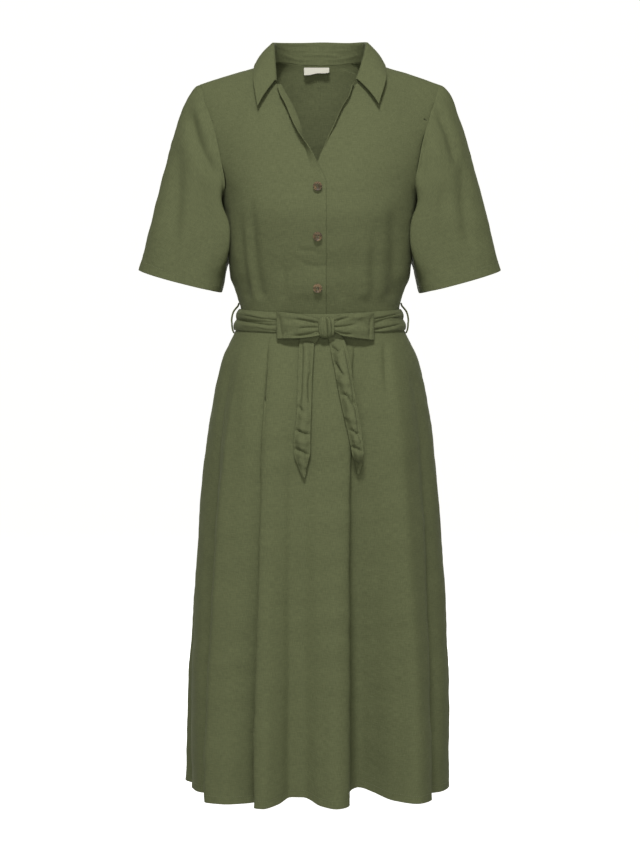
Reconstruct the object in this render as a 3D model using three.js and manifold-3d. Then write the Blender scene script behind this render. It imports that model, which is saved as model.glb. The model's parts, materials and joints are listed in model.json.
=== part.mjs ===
// Shirt dress: short sleeves, open pointed collar, three buttons, tie belt and a pleated midi skirt,
// standing in its worn form. Millimetres. +Z is up and the front faces -Y.
// The origin is midway between the shoulders at neck level, where the dress is held.
import * as THREE from 'three';
import Module from 'manifold-3d';
import { mergeVertices } from 'three/addons/utils/BufferGeometryUtils.js';

const wasm = await Module();
wasm.setup();

// Cloth
const CLOTH = 1.2;
const DOUBLED = 1.8;
const SEAM_GAP = 0.3;

// Levels below the neck level
const WAIST = 412;
const HEM = 1153;
const UNDERARM = 208;

// Bodice
const NECK_HALF_WIDTH = 72;
const SHOULDER_SLOPE = 0.33;
const BACK_NECK_RISE = 83;
const BACK_NECK_DROP = 76;
const FRONT_CORNER_DROP = 50;
const ROLL_RADIUS = 2.5;
const OVER_TURN = { fullTurn: 150, from: 105, to: 206 };
const UNDER_TURN = { fullTurn: 110, from: 138, to: 164 };
const OVER_LAYER = 1.2;
const UNDER_LAYER = -1.7;

// Belt and bow
const BELT_HALF_WIDTH = 16.8;
const BELT_LEVEL = 403.6;
const BELT_FRONT_DIP = 15;
const BELT_FOOT = BELT_LEVEL + BELT_FRONT_DIP + BELT_HALF_WIDTH;
const BELT_STAND = 2.5;
const BELT_LOBE = 2.5;
const KNOT = { x: 9, z: -425, halfWidth: 12.5, halfDepth: 8, halfHeight: 16 };

// Buttons
const BUTTON_RADIUS = 7;
const BUTTON_X = -3.7;
const BUTTON_DROPS = { button_top: 215, button_middle: 290, button_bottom: 366 };
const BUTTON_TURN = 24;

const COLOURS = {
  cloth: '#64694a',
  belt: '#656a4b',
  collar: '#62673f',
  button: '#64523a',
  label: '#c2c1b5',
};

// Torso rings by drop from the neck level: half width, and depth of the front and back halves
const BODICE = table('drop front back halfWidth',
  [0, 0, 0, 200],
  [6, 15, 20, 199],
  [16, 29, 34, 198],
  [32, 44, 52, 198],
  [60, 63, 72, 194],
  [100, 86, 86, 186],
  [150, 108, 96, 174],
  [205, 128, 98, 157],
  [250, 136, 96, 151],
  [300, 128, 92, 147],
  [336, 119, 90, 142.5],
  [352, 116, 89, 136],
  [372, 111, 88, 129.5],
  [390, 105, 86.5, 126],
  [412, 98, 86, 129.5]);

// Armhole edge: angle round the torso ring on the front and on the back, 90 at the side
const ARMHOLE = table('drop front back',
  [0, 68, 112],
  [6, 66, 113.5],
  [24, 62.8, 116.5],
  [62, 58.5, 120],
  [118, 56.5, 122.5],
  [165, 58.5, 121],
  [192, 63, 117],
  [203, 74, 106],
  [208, 90, 90]);

// Angle that the inner columns of a panel follow, smoother than the armhole's edge
const COLUMN_ANGLE = table('drop front back',
  [0, 68, 112], [60, 62, 118], [120, 62, 119], [208, 78, 104], [300, 90, 90]);

// Where each front turns back, from the shoulder to the meeting point: viewer's left, then right
const OVER_EDGE = table('drop x',
  [0, -74], [20, -73], [42, -70], [50, -63], [64, -56], [79, -48], [96, -40.5], [117, -33], [140, -27.5], [158, -23],
  [182, -15.5], [206, -3]);
const UNDER_EDGE = table('drop x',
  [0, 74], [20, 70], [42, 60], [54, 51], [72, 45.5], [90, 35], [120, 22.5], [150, 10], [182, -3]);

// Width of the strip past that line
const OVER_STRIP = table('drop width', [50, 13], [76, 18], [110, 18], [182, 12.5], [206, 12]);
const UNDER_STRIP = table('drop width', [50, 12], [110, 10], [150, 3], [182, 3], [206, 12]);

// Back neckline, from the centre back to the shoulder
const BACK_NECK = table('share x drop',
  [0, 0, 76], [0.35, 30, 71], [0.6, 50, 58], [0.8, 64, 40], [0.92, 71, 22], [1, 74, 0]);

// Collar, from its viewer's-left front end to its right one: top of the roll, then outer edge
const COLLAR = table('along rollX rollY rollZ edgeX edgeY edgeZ',
  [-1, -70, -53, -32, -97, -74, -78],
  [-0.8, -74, -28, 8, -105, -38, -24],
  [-0.6, -76, 5, 37, -103, 4, 4],
  [-0.4, -73, 42, 46, -91, 55, 9],
  [-0.2, -46, 72, 51.5, -57, 89, 3],
  [0, 0, 83, 54, 0, 97, 1],
  [0.2, 46, 72, 51.5, 57, 89, 3],
  [0.4, 73, 42, 46, 91, 55, 9],
  [0.6, 76, 5, 37, 103, 4, 4],
  [0.8, 70, -28, 8, 104, -38, -24],
  [1, 58, -52, -30, 91.5, -72, -74]);

// Sleeve hems: centre, and the ends of the longer axis at the outer and underarm sides
const SLEEVES = {
  sleeve_right: { side: -1, outer: [-288, -8, -327], inner: [-157, -8, -361] },
  sleeve_left: { side: 1, outer: [288, -8, -327], inner: [159, -8, -362] },
};
const SLEEVE_HALF_DEPTH = 60;
const SLEEVE_SQUARENESS = 0.55;
const SLEEVE_FRONT_DIP = 8;

// Skirt rings by level
const SKIRT = table('level halfWidth front back',
  [412, 129.5, 98, 86],
  [430, 137, 101.5, 91],
  [446, 145, 107, 98],
  [467, 153.6, 116, 108.5],
  [515, 166, 130, 126],
  [563, 176, 139, 135],
  [611, 182.5, 142, 139],
  [707, 191, 142, 141],
  [803, 197.6, 140, 140],
  [900, 201.6, 137, 139],
  [995, 205.6, 134, 138],
  [1153, 205.6, 132, 138]);

// Skirt folds: angle at the waist and at the hem, reach outward at the hem, and how far the hem is lifted.
// Two rows close together are the two sides of a pleat's edge.
const FRONT_FOLDS = table('waist hem reach lift',
  [-90, -90, 0, 0],
  [-72, -70, -8, 0],
  [-60, -58, -30, 0],
  [-54, -51.5, 4, 0],
  [-49, -46, 34, 0],
  [-43, -39, 32, 0],
  [-37, -32, 16, 0],
  [-33.6, -26.6, -3, 0],
  [-32.4, -25, 43, 0],
  [-28, -21.5, 47, 0],
  [-20, -16, 30, 5],
  [-14, -12, 12, 12],
  [-8, -6.8, 13, 12],
  [0, 0, 32, 3],
  [9, 6.5, 42, 0],
  [21.2, 11.8, 28, 2],
  [23.2, 13.2, -26, 10],
  [27, 18, -40, 16],
  [32, 24, -28, 11],
  [38, 32, 4, 2],
  [46, 40, 30, 0],
  [53, 48, 18, 0],
  [63, 59, -22, 0],
  [74, 72, -8, 0],
  [90, 90, 0, 0]);
const BACK_FOLDS = table('waist hem reach lift',
  [90, 90, 0, 0],
  [102, 102, -4, 0],
  [116, 119, 26, 0],
  [127, 129, -14, 0],
  [136, 139, 20, 0],
  [149, 151, -30, 0],
  [160, 165, 34, 0],
  [174, 176, -8, 0],
  [186, 188, 12, 0],
  [201, 202, -34, 0],
  [215, 213, 30, 0],
  [224, 226, 4, 0],
  [233, 236, -20, 0],
  [247, 248, 24, 0],
  [259, 260, -2, 0],
  [270, 270, 0, 0]);
const FOLD_SETTLE = 6;

// Belt ends from the knot down: centre and width
const BELT_ENDS = {
  belt_end_right: {
    cup: 7,
    tip: -2,
    rows: table('level x width',
      [428, -3, 11], [436, -12, 16], [446, -19.5, 22], [470, -21.5, 22], [506, -23, 21], [558, -24.5, 21],
      [600, -27, 24], [616, -27, 24], [636, -25, 13], [654, -22, 3]),
  },
  belt_end_left: {
    cup: 9,
    tip: 2,
    rows: table('level x width',
      [427, 15, 11], [438, 22, 17], [452, 27, 23], [484, 34, 24], [527, 41, 22], [558, 47, 21],
      [588, 53, 19], [616, 57, 17], [634, 57.5, 10], [649, 56, 3]),
  },
};

// Bow loops: reach from the knot to the far end, height in front of the belt, and half width, along the ribbon
const BOW_LOOP = table('step reach stand halfWidth',
  [0, 0, 9, 9.5],
  [1, 0.3, 6.8, 16],
  [2, 0.65, 4.4, 18.8],
  [3, 0.92, 4, 20],
  [4, 1, 7.2, 20.5],
  [5, 0.93, 11.2, 20],
  [6, 0.65, 14.5, 18.8],
  [7, 0.3, 15, 16],
  [8, 0, 13, 9.5]);
const BOW_ENDS = {
  bow_loop_right: { end: -66, riseAtKnot: -1.5, riseAtEnd: 4 },
  bow_loop_left: { end: 83, riseAtKnot: 2, riseAtEnd: 2 },
};

// Rows and columns of the cloth
const BODICE_DROPS = [0, 4, 12, 26, 42, 50, 60, 69, 76, 96, 122, 138, 150, 164, 174, 184, 192, 203, 208,
  236, 268, 300, 334, 352, 368, 380, 394, WAIST];
const SKIRT_LEVELS = [WAIST, 424, 446, 480, 520, 570, 630, 700, 780, 870, 960, 1055, HEM];
const SLEEVE_STEPS = [0, 0.08, 0.2, 0.36, 0.53, 0.7, 0.86, 1];
const PANEL_COLUMNS = 8;
const STRIP_SHARES = [0.15, 0.3, 0.55, 1];

// Rows under named columns
function table(columns, ...rows) {
  const names = columns.split(' ');
  return rows.map((row) => Object.fromEntries(names.map((name, i) => [name, row[i]])));
}

// A smooth curve through the values that never swings past them
function smoothCurve(at, values) {
  const last = at.length - 1;
  const rise = values.slice(1).map((value, i) => (value - values[i]) / (at[i + 1] - at[i]));
  const slopes = values.map((_, i) => {
    if (i === 0) return rise[0];
    if (i === last) return rise[last - 1];
    const product = rise[i - 1] * rise[i];
    return product <= 0 ? 0 : (2 * product) / (rise[i - 1] + rise[i]);
  });
  return (position) => {
    const place = THREE.MathUtils.clamp(position, at[0], at[last]);
    let i = 0;
    while (i < last - 1 && place > at[i + 1]) i += 1;
    const step = at[i + 1] - at[i];
    const u = (place - at[i]) / step;
    const v = 1 - u;
    return values[i] * v * v * (1 + 2 * u) + values[i + 1] * u * u * (3 - 2 * u)
      + step * u * v * (slopes[i] * v - slopes[i + 1] * u);
  };
}

// One curve for each column of a table, along its first column
function curvesOf(rows) {
  const [along, ...names] = Object.keys(rows[0]);
  const at = rows.map((row) => row[along]);
  return Object.fromEntries(names.map((name) => [name, smoothCurve(at, rows.map((row) => row[name]))]));
}

const { lerp, smoothstep, degToRad } = THREE.MathUtils;
const point = (x, y, z) => new THREE.Vector3(x, y, z);
const towards = (from, to, distance) => from.clone().add(to.clone().sub(from).setLength(distance));
const signedPower = (value, power) => Math.sign(value) * Math.abs(value) ** power;
const range = (count) => Array.from({ length: count }, (_, i) => i);

const bodice = curvesOf(BODICE);
const armhole = curvesOf(ARMHOLE);
const columnAngle = curvesOf(COLUMN_ANGLE);
const overEdge = curvesOf(OVER_EDGE);
const underEdge = curvesOf(UNDER_EDGE);
const overStrip = curvesOf(OVER_STRIP);
const underStrip = curvesOf(UNDER_STRIP);
const backNeck = curvesOf(BACK_NECK);
const skirt = curvesOf(SKIRT);
const collarLine = curvesOf(COLLAR);
const bowLoop = curvesOf(BOW_LOOP);
const frontFolds = curvesOf(FRONT_FOLDS.map((row, index) => ({ index, ...row })));
const backFolds = curvesOf(BACK_FOLDS.map((row, index) => ({ index, ...row })));

// A closed wall of cloth whose middle is the given grids of points, joined where they share points
function clothWall(grids, thickness) {
  const middle = [];
  const numbers = new Map();
  const numberOf = (p) => {
    const key = p.toArray().map((value) => Math.round(value * 1000)).join();
    if (!numbers.has(key)) {
      numbers.set(key, middle.length);
      middle.push(p);
    }
    return numbers.get(key);
  };
  const faces = [];
  for (const grid of grids) {
    const ids = grid.map((row) => row.map(numberOf));
    for (let r = 0; r + 1 < ids.length; r += 1) {
      for (let c = 0; c + 1 < ids[r].length; c += 1) {
        const [a, b, d, e] = [ids[r][c], ids[r][c + 1], ids[r + 1][c + 1], ids[r + 1][c]];
        faces.push([a, b, d], [a, d, e]);
      }
    }
  }
  const solidFaces = faces.filter(([a, b, c]) => a !== b && b !== c && c !== a);
  const normals = middle.map(() => point(0, 0, 0));
  const directed = new Set();
  for (const [a, b, c] of solidFaces) {
    const normal = middle[b].clone().sub(middle[a]).cross(middle[c].clone().sub(middle[a]));
    for (const corner of [a, b, c]) normals[corner].add(normal);
    directed.add(`${a},${b}`).add(`${b},${c}`).add(`${c},${a}`);
  }
  const count = middle.length;
  const positions = [1, -1].flatMap((face) => middle.flatMap((p, i) => {
    const offset = normals[i].clone().setLength((face * thickness) / 2);
    return p.clone().add(offset).toArray();
  }));
  const index = solidFaces.flatMap(([a, b, c]) => [a, b, c, a + count, c + count, b + count]);
  for (const edge of directed) {
    const [a, b] = edge.split(',').map(Number);
    if (!directed.has(`${b},${a}`)) index.push(b, a, a + count, b, a + count, b + count);
  }
  const geometry = new THREE.BufferGeometry();
  geometry.setAttribute('position', new THREE.Float32BufferAttribute(positions, 3));
  geometry.setIndex(index);
  geometry.computeVertexNormals();
  return geometry;
}

// A point of a rounded-box ring in plan, moved out from it
function ringPoint(angle, ring, out = 0) {
  const across = Math.sin(angle);
  const toward = Math.cos(angle);
  const depth = Math.max(toward > 0 ? ring.front : ring.back, 0.01);
  const size = (Math.abs(across) ** ring.power + Math.abs(toward) ** ring.power) ** (-1 / ring.power);
  const x = across * size;
  const y = -toward * size;
  const outX = (Math.sign(x) * Math.abs(x) ** (ring.power - 1)) / ring.halfWidth;
  const outY = (Math.sign(y) * Math.abs(y) ** (ring.power - 1)) / depth;
  const outLength = Math.hypot(outX, outY);
  return {
    x: x * ring.halfWidth + (out * outX) / outLength,
    y: y * depth + ring.centreY + (out * outY) / outLength,
  };
}

// The angle at which a ring has this sideways distance, on its front half
function angleAt(x, halfWidth, power) {
  const share = Math.min(Math.abs(x) / halfWidth, 1);
  return Math.sign(x) * Math.atan2(share, (1 - share ** power) ** (1 / power));
}

const ringPower = (drop) => lerp(2.5, 2.35, Math.min(drop / WAIST, 1));

function shoulderLine(x) {
  const past = Math.abs(x) - NECK_HALF_WIDTH;
  return 10 - (SHOULDER_SLOPE * (past + Math.hypot(past, 20))) / 2;
}

// The back is carried up behind the neck
function backRise(x, drop) {
  const across = Math.max(0, 1 - (x / 150) ** 2);
  const start = Math.sqrt(smoothstep(drop, 0, BACK_NECK_DROP));
  const fade = 1 - smoothstep(drop, BACK_NECK_DROP, 290);
  return BACK_NECK_RISE * across * start * fade;
}

function bodicePoint(angle, drop, out = 0) {
  const ring = {
    halfWidth: bodice.halfWidth(drop),
    front: bodice.front(drop),
    back: bodice.back(drop),
    power: ringPower(drop),
    centreY: 6 * (1 - smoothstep(drop, 0, 120)),
  };
  const { x, y } = ringPoint(angle, ring, out);
  const share = drop / WAIST;
  const rise = Math.cos(angle) < 0 ? backRise(x, drop) : 0;
  return point(x, y, shoulderLine(x) * (1 - share) - WAIST * share + rise);
}

const bodiceAngle = (x, drop) => angleAt(x, bodice.halfWidth(drop), ringPower(drop));

// The angle of the armhole or side seam on the front or back
function sideAngle(half, drop) {
  return degToRad(drop < UNDERARM ? armhole[half](drop) : 90);
}

// The far angle of a panel: its last column keeps to the armhole, the others to the smoother line
function panelAngle(half, share, drop) {
  const smooth = degToRad(columnAngle[half](drop));
  return lerp(smooth, sideAngle(half, drop), share ** 5);
}

// A point of a front: share 0 is the line where it turns or laps, 1 the armhole or side seam
function frontPoint(side, share, drop) {
  const edge = side < 0 ? overEdge.x(drop) : underEdge.x(drop);
  const angle = lerp(bodiceAngle(edge, drop), side * panelAngle('front', share, drop), share ** 1.2);
  const x = bodice.halfWidth(drop) * Math.sin(angle);
  const lapped = (1 - smoothstep(Math.abs(x), 14, 34)) * smoothstep(drop, 110, 185);
  return bodicePoint(angle, drop, lapped * (side < 0 ? OVER_LAYER : UNDER_LAYER));
}

// The strip past that line: flat where the fronts lap, rolled outward above
function lapPoints(side, drop) {
  const edge = frontPoint(side, 0, drop);
  const line = frontPoint(side, 0, drop + 2).sub(frontPoint(side, 0, drop - 2)).normalize();
  const across = edge.clone().sub(frontPoint(side, 0.02, drop));
  across.addScaledVector(line, -across.dot(line)).normalize();
  const outward = across.clone().cross(line);
  outward.multiplyScalar(Math.sign(outward.dot(point(edge.x, edge.y, 0))));
  const { fullTurn, from, to } = side < 0 ? OVER_TURN : UNDER_TURN;
  const turn = degToRad(fullTurn) * (1 - smoothstep(drop, from, to));
  const width = (side < 0 ? overStrip : underStrip).width(drop);
  return STRIP_SHARES.map((share) => {
    const length = share * width;
    const bent = Math.min(length / ROLL_RADIUS, turn);
    const straight = length - bent * ROLL_RADIUS;
    const forward = ROLL_RADIUS * Math.sin(bent) + straight * Math.cos(turn);
    const up = ROLL_RADIUS * (1 - Math.cos(bent)) + straight * Math.sin(turn);
    return edge.clone().addScaledVector(across, forward).addScaledVector(outward, up);
  });
}

// Pulls the first or last row or column back from its seam
function pullRow(grid, row, next, distance) {
  grid[row] = grid[row].map((p, i) => towards(p, grid[next][i], distance));
}

function pullColumn(grid, column, next, distance) {
  for (const [i, row] of grid.entries()) {
    const amount = typeof distance === 'function' ? distance(i) : distance;
    row[column] = towards(row[column], row[next], amount);
  }
}

const SHOULDER_PULL = 0.6;
const WAIST_PULL = 0.45;
const NECK_PULL = 0.8;
const armholePull = (i) => (BODICE_DROPS[i] > UNDERARM ? SEAM_GAP / 2 : armholeSetback(BODICE_DROPS[i]));

// Cloth that meets at the armhole stands further back where it meets at a sharper angle
function armholeSetback(drop) {
  return lerp(0.45, 2.6, smoothstep(drop, 110, UNDERARM));
}

function bodiceFront(side) {
  const main = BODICE_DROPS.map((drop) => range(PANEL_COLUMNS).map((column) => (
    frontPoint(side, column / (PANEL_COLUMNS - 1), drop))));
  const laps = BODICE_DROPS.map((drop) => lapPoints(side, drop));
  pullRow(main, 0, 1, SHOULDER_PULL);
  for (const grid of [main, laps]) pullRow(grid, grid.length - 1, grid.length - 2, WAIST_PULL);
  pullColumn(main, PANEL_COLUMNS - 1, PANEL_COLUMNS - 2, armholePull);
  const corner = BODICE_DROPS.indexOf(FRONT_CORNER_DROP);
  for (const row of main.slice(0, corner)) row[0] = towards(row[0], row[1], NECK_PULL);
  const lap = laps.slice(corner).map((row, i) => [...row].reverse().concat(main[i + corner][0]));
  const grids = [main, lap];
  return clothWall(side < 0 ? grids.map(flipped) : grids, CLOTH);
}

function flipped(grid) {
  return grid.map((row) => [...row].reverse());
}

function backNeckX(drop) {
  const shares = smoothCurve([0, 22, 40, 58, 71, 76], [1, 0.92, 0.8, 0.6, 0.35, 0]);
  return backNeck.x(shares(drop));
}

function bodiceBack() {
  const halves = [-1, 1].map((side) => {
    const grid = BODICE_DROPS.map((drop) => {
      const edge = drop < BACK_NECK_DROP ? backNeckX(drop) : 0;
      const inner = Math.PI - bodiceAngle(edge, drop);
      return range(PANEL_COLUMNS + 2).map((column) => {
        const share = column / (PANEL_COLUMNS + 1);
        return bodicePoint(side * lerp(inner, panelAngle('back', share, drop), share), drop);
      });
    });
    const centre = BODICE_DROPS.indexOf(BACK_NECK_DROP);
    for (const row of grid.slice(0, centre)) row[0] = towards(row[0], row[1], NECK_PULL);
    for (const row of grid.slice(centre)) row[0].x = 0;
    pullRow(grid, 0, 1, SHOULDER_PULL);
    pullRow(grid, grid.length - 1, grid.length - 2, WAIST_PULL);
    pullColumn(grid, grid[0].length - 1, grid[0].length - 2, armholePull);
    return side < 0 ? grid : flipped(grid);
  });
  return clothWall(halves, CLOTH);
}

// The front line and back line of an armhole as one loop, from the shoulder down the front and up the back
function armholeLoop(side) {
  const drops = BODICE_DROPS.filter((drop) => drop <= UNDERARM);
  const front = drops.map((drop) => bodicePoint(side * sideAngle('front', drop), drop));
  const back = drops.map((drop) => bodicePoint(side * sideAngle('back', drop), drop));
  const middle = drops.length - 1;
  const turns = [...lengthShares(front), ...lengthShares(back).reverse().slice(1).map((share) => 2 - share)];
  const points = [...front, ...back.reverse().slice(1)];
  const levels = [...drops, ...drops.slice(0, middle).reverse()];
  return points.map((start, i) => ({ start, turn: turns[i] * Math.PI, drop: levels[i] }));
}

// The share of a line's length at each of its points
function lengthShares(points) {
  const steps = points.map((p, i) => (i === 0 ? 0 : p.distanceTo(points[i - 1])));
  const totals = steps.map((_, i) => steps.slice(0, i + 1).reduce((sum, step) => sum + step, 0));
  return totals.map((total) => total / totals[totals.length - 1]);
}

function sleeve({ side, outer, inner }) {
  const high = point(...outer);
  const low = point(...inner);
  const centre = high.clone().add(low).multiplyScalar(0.5);
  const half = high.clone().sub(centre);
  const columns = armholeLoop(side).map(({ start, turn, drop }) => {
    const under = (1 - Math.cos(turn)) / 2;
    const front = Math.sin(turn);
    const square = turn > Math.PI / 2 && turn < 1.5 * Math.PI ? SLEEVE_SQUARENESS : 1;
    const end = centre.clone().addScaledVector(half, signedPower(Math.cos(turn), square))
      .add(point(0, -SLEEVE_HALF_DEPTH * signedPower(front, square), -SLEEVE_FRONT_DIP * Math.max(front, 0)));
    const leave = point(side * lerp(1, 0.25, smoothstep(under, 0.45, 1)), -0.45 * front, -lerp(0.25, 0.8, under))
      .multiplyScalar(lerp(105, 70, under));
    const arrive = point(side * 0.3, 0, -0.95).multiplyScalar(lerp(300, 150, under));
    const first = start.clone().add(leave.clone().setLength(armholeSetback(drop)));
    return SLEEVE_STEPS.map((t) => clearOfTorso(hermite(first, leave, end, arrive, t), t, under));
  });
  columns[columns.length - 1] = columns[0];
  const grid = SLEEVE_STEPS.map((_, row) => columns.map((column) => column[row]));
  return clothWall([side < 0 ? flipped(grid) : grid], CLOTH);
}

function hermite(start, leave, end, arrive, t) {
  const s = 1 - t;
  return point(0, 0, 0)
    .addScaledVector(start, s * s * (1 + 2 * t))
    .addScaledVector(leave, t * s * s)
    .addScaledVector(end, t * t * (3 - 2 * t))
    .addScaledVector(arrive, -t * t * s);
}

// Keeps the sleeve just clear of the side of the torso below the armhole
function clearOfTorso(p, t, under) {
  const line = shoulderLine(p.x);
  const drop = (WAIST * (line - p.z)) / (WAIST + line);
  if (drop < UNDERARM || drop > WAIST) return p;
  const power = ringPower(drop);
  const depth = p.y < 0 ? bodice.front(drop) : bodice.back(drop);
  const across = Math.abs(p.y) / depth;
  if (across >= 1) return p;
  const torso = bodice.halfWidth(drop) * (1 - across ** power) ** (1 / power);
  const least = torso + lerp(2, 3, smoothstep(t, 0, 0.3));
  const drawn = smoothstep(under, 0.45, 0.85) * smoothstep(drop, UNDERARM, UNDERARM + 60)
    * (1 - smoothstep(t, 0.45, 0.9));
  return point(Math.sign(p.x) * Math.max(least, lerp(Math.abs(p.x), least, drawn)), p.y, p.z);
}

// A point of the skirt: the fold table's place along it, and the level below the neck
function skirtPoint(folds, place, level) {
  const share = (level - WAIST) / (HEM - WAIST);
  const angle = lerp(folds.waist(place), folds.hem(place), 1 - Math.exp(-FOLD_SETTLE * share));
  const ring = {
    halfWidth: skirt.halfWidth(level),
    front: skirt.front(level),
    back: skirt.back(level),
    power: ringPower(WAIST),
    centreY: 0,
  };
  const growth = Math.max(0, (level - BELT_FOOT) / (HEM - BELT_FOOT));
  const { x, y } = ringPoint(degToRad(angle), ring, folds.reach(place) * growth);
  return point(x, y, -level + folds.lift(place) * growth ** 3);
}

function skirtPanel(folds, rows) {
  const places = range(2 * rows.length - 1).map((i) => i / 2);
  const grid = SKIRT_LEVELS.map((level) => places.map((place) => skirtPoint(folds, place, level)));
  pullRow(grid, 0, 1, WAIST_PULL);
  pullColumn(grid, 0, 1, SEAM_GAP);
  pullColumn(grid, places.length - 1, places.length - 2, SEAM_GAP);
  return clothWall([flipped(grid)], CLOTH);
}

// The neck seam that the collar stands on
function neckSeam(along) {
  const share = Math.abs(along) * 2;
  const side = along < 0 ? -1 : 1;
  if (share <= 1) {
    const drop = backNeck.drop(share);
    return bodicePoint(Math.PI - bodiceAngle(side * backNeck.x(share), drop), drop);
  }
  return frontPoint(side, 0, lerp(0, 42, share - 1));
}

const COLLAR_STATIONS = 23;
const COLLAR_RISE = 1.6;
const COLLAR_ROLL = 2.2;
const COLLAR_BELLY = 2.5;

function collar() {
  const grid = range(COLLAR_STATIONS).map((station) => {
    const along = lerp(-1, 1, station / (COLLAR_STATIONS - 1));
    const roll = point(collarLine.rollX(along), collarLine.rollY(along), collarLine.rollZ(along));
    const edge = point(collarLine.edgeX(along), collarLine.edgeY(along), collarLine.edgeZ(along));
    const seam = towards(neckSeam(along), roll, COLLAR_RISE);
    const outward = point(edge.x - roll.x, edge.y - roll.y, 0).normalize();
    const inner = roll.clone().addScaledVector(outward, -COLLAR_ROLL).add(point(0, 0, -1.5));
    const outer = roll.clone().addScaledVector(outward, COLLAR_ROLL).add(point(0, 0, -1.5));
    const belly = (share, amount) => outer.clone().lerp(edge, share).addScaledVector(outward, amount);
    return [
      seam,
      seam.clone().lerp(inner, 0.35),
      seam.clone().lerp(inner, 0.7),
      inner,
      roll,
      outer,
      belly(0.33, COLLAR_BELLY),
      belly(0.67, COLLAR_BELLY),
      edge,
    ];
  });
  return clothWall([grid], DOUBLED);
}

// How far the belt has dipped at this angle, 0 at the back and sides and 1 at the front
const beltDip = (angle) => ((1 + Math.cos(angle)) / 2) ** 3;

// A point of the dress at the waist, moved out
function waistPoint(angle, level, out) {
  if (level < WAIST) return bodicePoint(angle, level, out);
  const ring = {
    halfWidth: skirt.halfWidth(level),
    front: skirt.front(level),
    back: skirt.back(level),
    power: ringPower(WAIST),
    centreY: 0,
  };
  const { x, y } = ringPoint(angle, ring, out);
  return point(x, y, -level);
}

const BELT_COLUMNS = 52;
const BELT_ACROSS = [-1, -0.5, 0, 0.5, 1];

// A point of the belt: straight between its edges, which lie on the dress, with two soft lobes
function beltPoint(angle, across) {
  const dip = beltDip(angle);
  const middle = BELT_LEVEL + BELT_FRONT_DIP * dip;
  const half = BELT_HALF_WIDTH - 2.5 * dip;
  const overLap = 1.4 * (1 - smoothstep(Math.abs(angle), 0.2, 0.45));
  const lobe = BELT_LOBE * Math.sin(Math.abs(across) * Math.PI);
  const stand = BELT_STAND + overLap + lobe;
  const top = waistPoint(angle, middle - half, stand);
  return top.lerp(waistPoint(angle, middle + half, stand), (1 - across) / 2);
}

function beltBand() {
  const grid = BELT_ACROSS.map((across) => range(BELT_COLUMNS + 1).map((column) => {
    const turn = (column % BELT_COLUMNS) / BELT_COLUMNS;
    return beltPoint((turn > 0.5 ? turn - 1 : turn) * 2 * Math.PI, across);
  }));
  return clothWall([grid], DOUBLED);
}

// How far the outside of the belt stands in front of the origin at this place
function beltReach(x) {
  const angle = angleAt(x, skirt.halfWidth(430), ringPower(WAIST));
  return Math.max(...BELT_ACROSS.map((across) => -beltPoint(angle, across).y)) + DOUBLED / 2;
}

// How far the outside of the skirt's folds stands in front of the origin at this place
function skirtReach(x, level) {
  const line = range(2 * FRONT_FOLDS.length - 1).map((i) => skirtPoint(frontFolds, i / 2, level));
  const crossings = line.slice(1).map((end, i) => {
    const start = line[i];
    const share = (x - start.x) / (end.x - start.x);
    return share >= 0 && share <= 1 ? -lerp(start.y, end.y, share) : 0;
  });
  return Math.max(...crossings) + CLOTH / 2;
}

const frontReach = (x, level) => (level < BELT_FOOT ? beltReach(x) : skirtReach(x, level));

// The foremost of what lies near this place, so that a hanging piece clears it
function reachNear(x, level, near) {
  const places = [-1, 0, 1].flatMap((i) => [-1, 0, 1].map((j) => frontReach(x + i * near, level + j * near)));
  return Math.max(...places);
}

const END_NEAR = 5;
const END_STAND = DOUBLED / 2 + SEAM_GAP;
const END_ACROSS = [-1, -0.55, 0, 0.55, 1];

// A free end of the belt, hanging from the knot with its edges turned in to a point
function beltEnd({ cup, tip, rows }) {
  const line = curvesOf(rows);
  const top = rows[0].level;
  const bottom = rows[rows.length - 1].level;
  const steps = 14;
  const grid = range(steps + 1).map((step) => {
    const level = lerp(top, bottom, step / steps);
    const width = line.width(level);
    const hollow = cup * smoothstep(level, 440, 470) * (width / 22);
    const lean = line.x(level + 4) - line.x(level - 4);
    const stand = Math.max(...END_ACROSS.map((across) => (
      reachNear(line.x(level) + (across * width) / 2, level, END_NEAR)))) + END_STAND;
    const narrowed = smoothstep(level, bottom - 40, bottom);
    return END_ACROSS.map((across) => point(
      line.x(level) + (across * width) / 2 + tip * narrowed,
      -stand - hollow * (1 - across * across),
      -level + (across * width * lean) / 16));
  });
  return clothWall([flipped(grid)], DOUBLED);
}

// One loop of the bow: a ribbon that leaves the knot, turns at its far end and comes back in front
function bowLoopPiece({ end, riseAtKnot, riseAtEnd }) {
  const start = KNOT.x + Math.sign(end) * (KNOT.halfWidth + SEAM_GAP);
  const steps = 16;
  const grid = range(steps + 1).map((step) => {
    const place = (step / steps) * (BOW_LOOP.length - 1);
    const x = lerp(start, end, bowLoop.reach(place));
    const y = -beltReach(x) - bowLoop.stand(place);
    const half = bowLoop.halfWidth(place);
    const z = KNOT.z + lerp(riseAtKnot, riseAtEnd, bowLoop.reach(place));
    return [-1, -0.5, 0, 0.5, 1].map((across) => point(x, y, z + across * half));
  });
  return clothWall([end < 0 ? grid : flipped(grid)], DOUBLED);
}

function beltKnot() {
  const ball = new THREE.SphereGeometry(1, 18, 12);
  const positions = ball.getAttribute('position');
  for (const i of range(positions.count)) {
    positions.setXYZ(i, ...['getX', 'getY', 'getZ'].map((part) => signedPower(positions[part](i), 0.72)));
  }
  ball.rotateX(Math.PI / 2);
  ball.scale(KNOT.halfWidth, KNOT.halfDepth, KNOT.halfHeight);
  const back = beltReach(KNOT.x) + DOUBLED + 2 * SEAM_GAP;
  ball.translate(KNOT.x, -back - KNOT.halfDepth, KNOT.z);
  return ball;
}

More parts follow.
